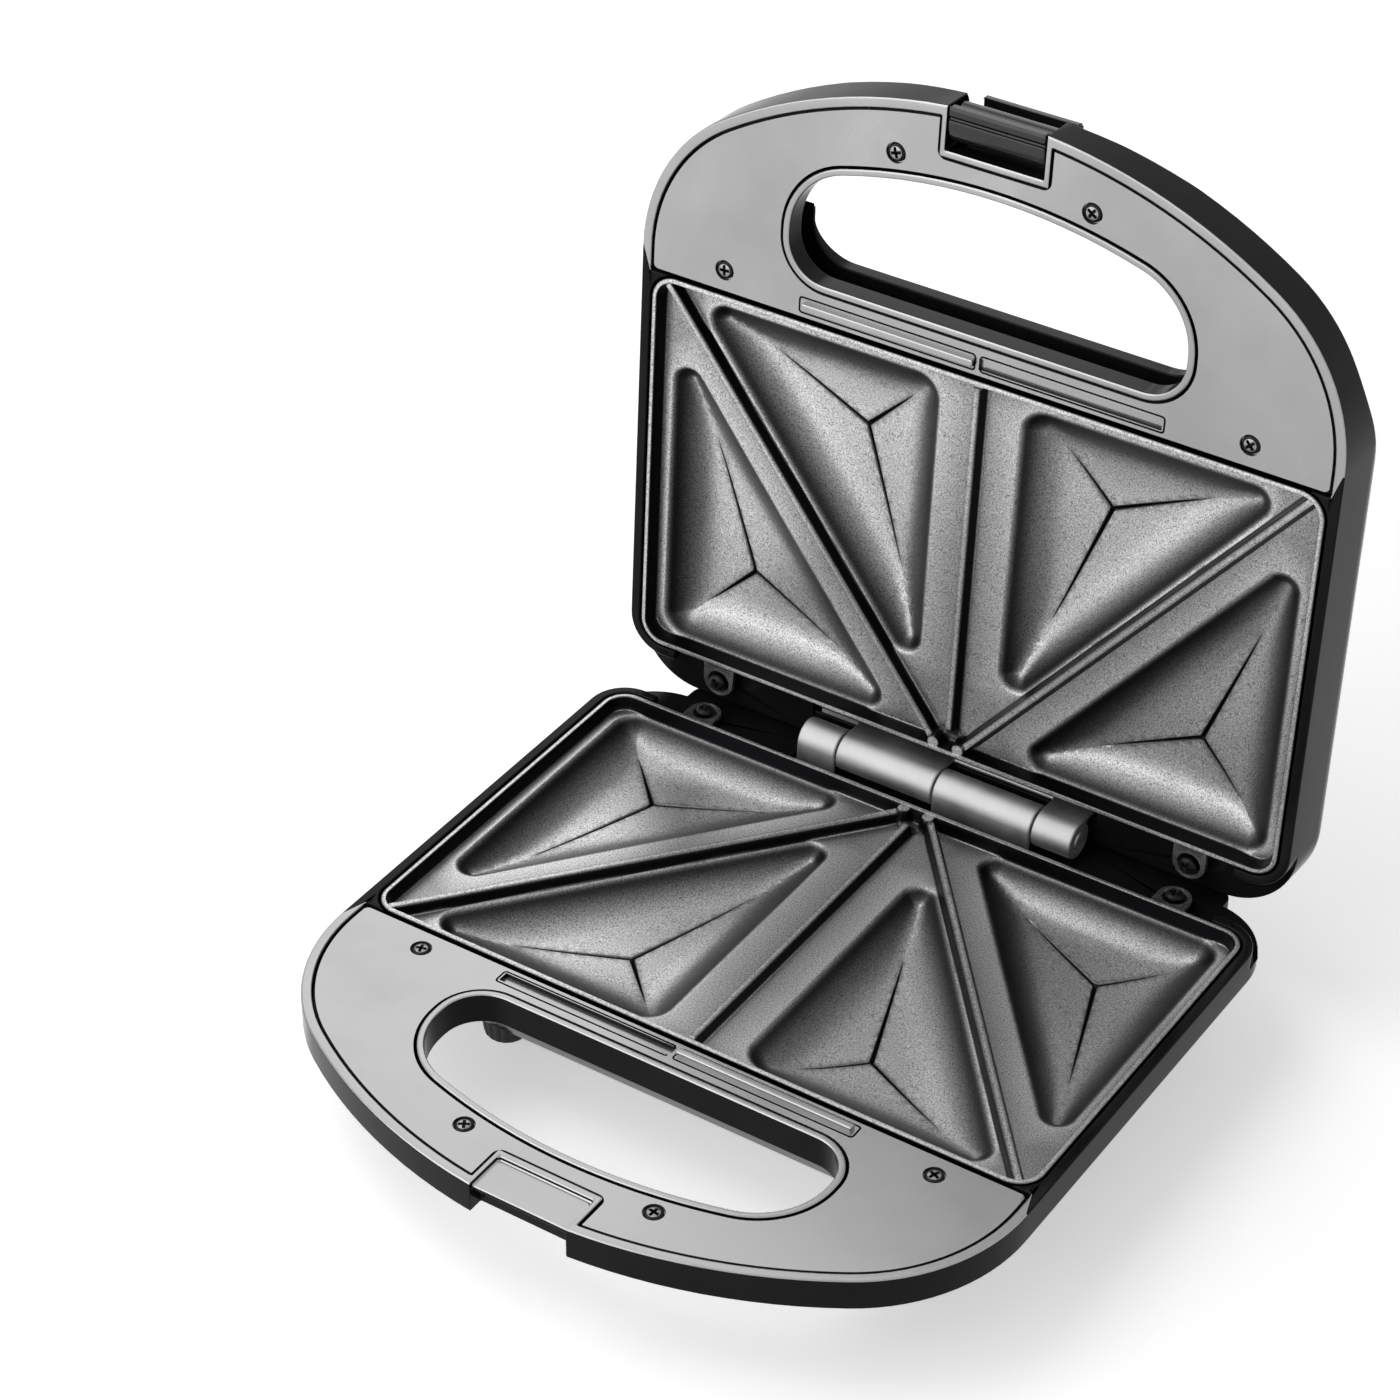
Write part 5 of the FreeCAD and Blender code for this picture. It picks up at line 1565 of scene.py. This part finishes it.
def set_of_screws(name: str, pattern: CrossScrew, places: Sequence[Matrix]) -> bpy.types.Object:
    """Copy one screw to several places, as one piece.

    Args:
        name: Name of the piece.
        pattern: The screw.
        places: Where each one stands, from the screw's own frame to the closed frame.

    Returns:
        The piece.
    """
    model = pattern.build("pattern")
    whole = bmesh.new()
    for place in places:
        copy = model.data.copy()
        copy.transform(place)
        whole.from_mesh(copy)
        bpy.data.meshes.remove(copy)
    mesh = bpy.data.meshes.new(name)
    whole.to_mesh(mesh)
    whole.free()
    discard(model)
    return stand(name, mesh)


@dataclass
class Screws:
    """The cross-head screws of both halves that can be seen."""

    panel: CrossScrew = CrossScrew()
    plate: CrossScrew = CrossScrew(head=2.75, tall=1.3)
    panel_spots: tuple[Pair, ...] = HandlePanel.seats
    plate_spots: tuple[Pair, ...] = ((82.0, 103.4),)
    level: float = -2.2
    spin: float = 0.9

    # how far below its top, and how flat, the face of a head with the painted highlight is
    FACE_PLAY = 0.3
    FACE_FLAT = 0.8

    def _places(self, spots: Sequence[Pair], spin: float) -> list[Matrix]:
        """Mirror the spots to both sides and give each screw its own turn.

        Args:
            spots: Where the screws of one side stand.
            spin: How far the first one is turned.

        Returns:
            The place of each screw.
        """
        both = [(way * x, y) for x, y in spots for way in (-1, 1)]
        return [Matrix.Translation((x, y, PARTING + self.level))
                @ Matrix.Rotation(spin + i * self.spin, 4, "Z") for i, (x, y) in enumerate(both)]

    def _off_face(self, spot: Vector, way: Vector) -> bool:
        """Tell whether a panel screw's face lies anywhere but on the flat of its head.

        Args:
            spot: The face's middle, in the closed frame.
            way: Its outward direction.

        Returns:
            True if it does.
        """
        face = -self.level - self.panel.tall
        return abs(spot.z - PARTING) > face + self.FACE_PLAY or abs(way.z) < self.FACE_FLAT

    def fit(self, finishes: Finishes) -> None:
        """Turn the screws into both halves.

        Args:
            finishes: All materials.
        """
        black = finishes["black_screws"]
        for body, flipped, spin in ((Body.BASE, False, 0.3), (Body.LID, True, 0.75)):
            half = body.value
            panel = set_of_screws(half + "_handle_screws", self.panel,
                                  self._places(self.panel_spots, spin))
            # painted highlight: panel screws get the lighter zinc, then everything but the flat of each head is
            # given back the screws' black zinc
            dress(panel, body, finishes["screw_face"], half + "_panel_screws",
                  flipped)
            repaint(panel.data, body, black, self._off_face)
            plate = set_of_screws(half + "_tab_screws", self.plate,
                                  self._places(self.plate_spots, spin + 0.4))
            dress(plate, body, black, half + "_plate_screws", flipped)


# ---------------------------------------------------------------------- mouldings and fittings
@dataclass(frozen=True)
class Moulding:
    """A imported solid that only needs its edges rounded.

    The rim is the span of levels, and the deck the least level, of the faces with a finish of
    their own.
    """

    node: str
    name: str
    body: Body
    slot: str
    edge: float = 0.5
    finish: str = ""
    rim: Pair | None = None
    deck: float | None = None

    # how far a rounding may leave the solid, against its width, and how flat rim and deck are
    PLAY = 1.1
    RIM_FLAT = 0.6
    DECK_FLAT = 0.97

    def _on_rim(self, spot: Vector, way: Vector) -> bool:
        """Tell whether a face belongs to the handle's rim, collar or notch floor.

        Args:
            spot: The face's middle, in the closed frame.
            way: Its outward direction.

        Returns:
            True if it does.
        """
        low, high = self.rim
        on_handle = spot.y < HandlePanel.outline.back
        return on_handle and low < spot.z < high and abs(way.z) > self.RIM_FLAT

    def _on_deck(self, spot: Vector, way: Vector) -> bool:
        """Tell whether a face belongs to the flat deck."""
        return spot.z > self.deck and way.z > self.DECK_FLAT

    def fit(self, finishes: Finishes) -> None:
        """Round the edges of a copy and put it in the place of the node.

        Args:
            finishes: All materials.
        """
        width = self.edge * MM
        thing = soften(copy_of(self.node, self.name), width, clamp=False)
        true_up(thing, self.node, width * self.PLAY)
        clothe(thing, self.body, finishes[self.finish or self.slot], self.node)
        if self.rim is not None:
            repaint(thing.data, self.body, finishes["satin_black_plastic"], self._on_rim)
        if self.deck is not None:
            repaint(thing.data, self.body, finishes["satin_deck"], self._on_deck)


MOULDINGS = (
    Moulding("base_shell", "base_rim_moulding", Body.BASE, "gloss_black_plastic",
             rim=(35.9, 37.8)),
    Moulding("lid_shell", "lid_moulding", Body.LID, "gloss_black_plastic",
             rim=(38.2, 38.9), deck=66.0),
    Moulding("bottom_cover", "base_tub_moulding", Body.BASE, "gloss_black_plastic"),
    Moulding("latch", "latch_clip", Body.LATCH, "gloss_black_plastic", 0.6, "latch_moulding"),
    Moulding("base_hinge_leaf", "lower_hinge_leaf", Body.BASE, "hinge_steel", 0.6),
    Moulding("lid_hinge_leaf", "upper_hinge_leaf", Body.LID, "hinge_steel", 0.6),
    Moulding("hinge_pin", "hinge_rod", Body.BASE, "hinge_steel"),
    Moulding("cord_gland", "cord_bush", Body.BASE, "gland_rubber"),
    Moulding("indicator_bezel", "indicator_frame", Body.LID, "gloss_black_plastic", 0.35),
    Moulding("power_lens", "power_window", Body.LID, "grey_lens", 0.3),
    Moulding("ready_lens", "ready_window", Body.LID, "green_lens", 0.3),
)


@dataclass
class Feet:
    """Four tapered rubber feet with upright flutes."""

    spots: tuple[Pair, ...] = ((70.0, -19.5), (-70.0, -19.5), (80.0, 88.0), (-80.0, 88.0))
    radius: float = 6.7
    flutes: int = 18
    flute: float = 0.44
    flute_steps: int = 8
    top: float = 8.45
    peg: Pair = (2.0, 12.5)

    # share of the radius, level and share of the flute's depth, from the hollow underneath upwards
    STEPS = ((0.3, 0.6, 0), (0.75, 0.0, 0), (0.93, 0.35, 0.2), (1.0, 1.0, 0.7), (1.03, 2.0, 1),
             (1.08, 5.0, 1), (1.12, 7.4, 1), (1.134, 7.9, 0.4), (1.134, 8.45, 0))

    def _ring(self, radius: float, level: float, wave: float, spot: Pair) -> np.ndarray:
        """Draw one fluted ring.

        Args:
            radius: Its outer radius.
            level: Its level.
            wave: Depth of the flutes.
            spot: Its middle.

        Returns:
            The points.
        """
        turn = np.linspace(0, FULL_TURN, self.flutes * self.flute_steps, endpoint=False)
        r = radius - wave * (0.5 - 0.5 * np.cos(turn * self.flutes)) ** 2
        return np.column_stack([spot[0] + r * np.cos(turn), spot[1] + r * np.sin(turn),
                                np.full(turn.size, level)])

    def fit(self, finishes: Finishes) -> None:
        """Mould the feet as one piece and fix them under the tub.

        Args:
            finishes: All materials.
        """
        draft = Draft("moulded_feet")
        peg, peg_top = self.peg
        for spot in self.spots:
            rings = [self._ring(self.radius * share, level, self.flute * wave, spot)
                     for share, level, wave in self.STEPS]
            rings += [self._ring(peg, level, 0, spot) for level in (self.top, peg_top)]
            draft.rings(rings)
        dress(draft.object(), Body.BASE, finishes["foot_rubber"], "rubber_feet")


# ------------------------------------------------------------------------------------ studio
@dataclass(frozen=True)
class Softbox:
    """A square studio lamp."""

    name: str
    spot: Spot
    aim: Spot
    power: float
    size: float

    def build(self) -> None:
        """Hang the lamp and point it at its aim."""
        lamp = bpy.data.lights.new(self.name, "AREA")
        lamp.energy, lamp.size, lamp.shape = self.power, self.size, "SQUARE"
        thing = stand(self.name, lamp)
        thing.location = self.spot
        way = Vector(self.aim) - Vector(self.spot)
        thing.rotation_euler = way.to_track_quat("-Z", "Y").to_euler()


@dataclass
class Studio:
    """Plain pale floor, soft lamps, white surroundings and the camera."""

    azimuth: float = 33.58
    elevation: float = 36.19
    distance: float = 1.191
    aside: float = -0.0664
    above: float = 0.0314
    behind: float = -0.0109
    lens: float = 102.47
    sensor: float = 36.0
    ambient: float = 0.26
    floor_half: float = 3.0
    floor_gap: float = 0.0002
    floor_tone: Tone = (0.9, 0.9, 0.9)
    floor_rough: float = 0.7
    floor_glow: float = 0.5
    boxes: tuple[Softbox, ...] = (
        Softbox("rear_softbox", (-0.60, 0.80, 0.82), (0, -0.04, 0.04), 1.5, 0.7),
        Softbox("top_softbox", (-0.62, -0.20, 1.28), (0, 0, 0.05), 5.0, 0.8),
        Softbox("front_softbox", (-0.66, -1.05, 0.55), (0, 0.1, 0.14), 12.0, 1.4))

    def _world(self) -> None:
        """Surround the toaster with white, dimmer where it only lights."""
        world = bpy.data.worlds.new("white_surroundings")
        world.use_nodes = True
        bench = Bench(world.node_tree)
        output = bench.node("ShaderNodeOutputWorld")
        background = bench.node("ShaderNodeBackground", Color=(1, 1, 1, 1))
        level = bench.node("ShaderNodeMapRange", To_Min=self.ambient, To_Max=1.0)
        bench.link(bench.seen(), 0, level, "Value")
        bench.link(level, "Result", background, "Strength")
        bench.link(background, 0, output, "Surface")
        bpy.context.scene.world = world

    def _floor(self) -> None:
        """Lay the floor just under the feet."""
        mesh = bpy.data.meshes.new("floor")
        h = self.floor_half
        mesh.from_pydata([(-h, -h, 0), (h, -h, 0), (h, h, 0), (-h, h, 0)], [], [(0, 1, 2, 3)])
        floor = stand("floor", mesh)
        floor.location.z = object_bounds()[0][2] - self.floor_gap
        recipe = Recipe("pale_floor")
        recipe.fill(recipe.shader, Base_Color=(*self.floor_tone, 1), Roughness=self.floor_rough,
                    Emission_Color=(1, 1, 1, 1))
        lift = recipe.node("ShaderNodeMath", {"operation": "MULTIPLY"})
        recipe.link(recipe.seen(), 0, lift, 0)
        lift.inputs[1].default_value = self.floor_glow
        recipe.feed(lift, 0, "Emission Strength")
        mesh.materials.append(recipe.material)
        floor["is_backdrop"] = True

    def _camera(self) -> None:
        """Set the camera up at the front right, above the handles."""
        a, e = math.radians(self.azimuth), math.radians(self.elevation)
        back = Vector((math.sin(a) * math.cos(e), -math.cos(a) * math.cos(e), math.sin(e)))
        right = Vector((math.cos(a), math.sin(a), 0))
        up = back.cross(right)
        plate_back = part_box("base_cooking_plate")[1].y
        centre = Vector((0, plate_back + self.behind, STANCE.hinge.z * MM))
        data = bpy.data.cameras.new("camera")
        data.lens, data.sensor_width = self.lens, self.sensor
        camera = stand("camera", data)
        turn = Matrix((right, up, back)).transposed().to_4x4()
        spot = centre + back * self.distance + right * self.aside + up * self.above
        camera.matrix_world = Matrix.Translation(spot) @ turn
        bpy.context.scene.camera = camera

    def build(self) -> None:
        """Set up everything that isn't part of the toaster."""
        self._world()
        self._floor()
        for box in self.boxes:
            box.build()
        self._camera()
        bpy.context.scene.view_settings.view_transform = "Standard"


# -------------------------------------------------------------------------- the whole toaster
def paint_frame(finishes: Finishes) -> None:
    """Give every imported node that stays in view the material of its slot.

    Args:
        finishes: All materials.
    """
    for part in frame["record"]["subparts"]:
        materials = frame["nodes"][part["node"]].data.materials
        materials.clear()
        materials.append(finishes[part["material_slot"]])


def main() -> None:
    """Build the toaster and its studio, piece by piece."""
    logging.basicConfig(level=logging.INFO, format="%(name)s %(message)s")
    finishes = make_finishes()
    paint_frame(finishes)
    plate, panel = CookingPlate(), HandlePanel()
    satin, black = finishes["satin_black_plastic"], finishes["gloss_black_plastic"]
    for body, flipped in ((Body.BASE, False), (Body.LID, True)):
        side = body.value
        dress(plate.build(side + "_pressed_plate"), body, finishes["nonstick_plate"],
              side + "_cooking_plate", flipped)
        moulding = dress(panel.build(side + "_panel_moulding"), body, satin,
                         side + "_handle_panel", flipped)
        # the fine grooves and the slot's walls of the satin panel are painted gloss black: painted shade
        repaint(moulding.data, body, black, panel.groove_gets_painted_shade)
    for piece in MOULDINGS:
        piece.fit(finishes)
    Feet().fit(finishes)
    Screws().fit(finishes)
    Studio().build()


if __name__ == "__main__":
    main()
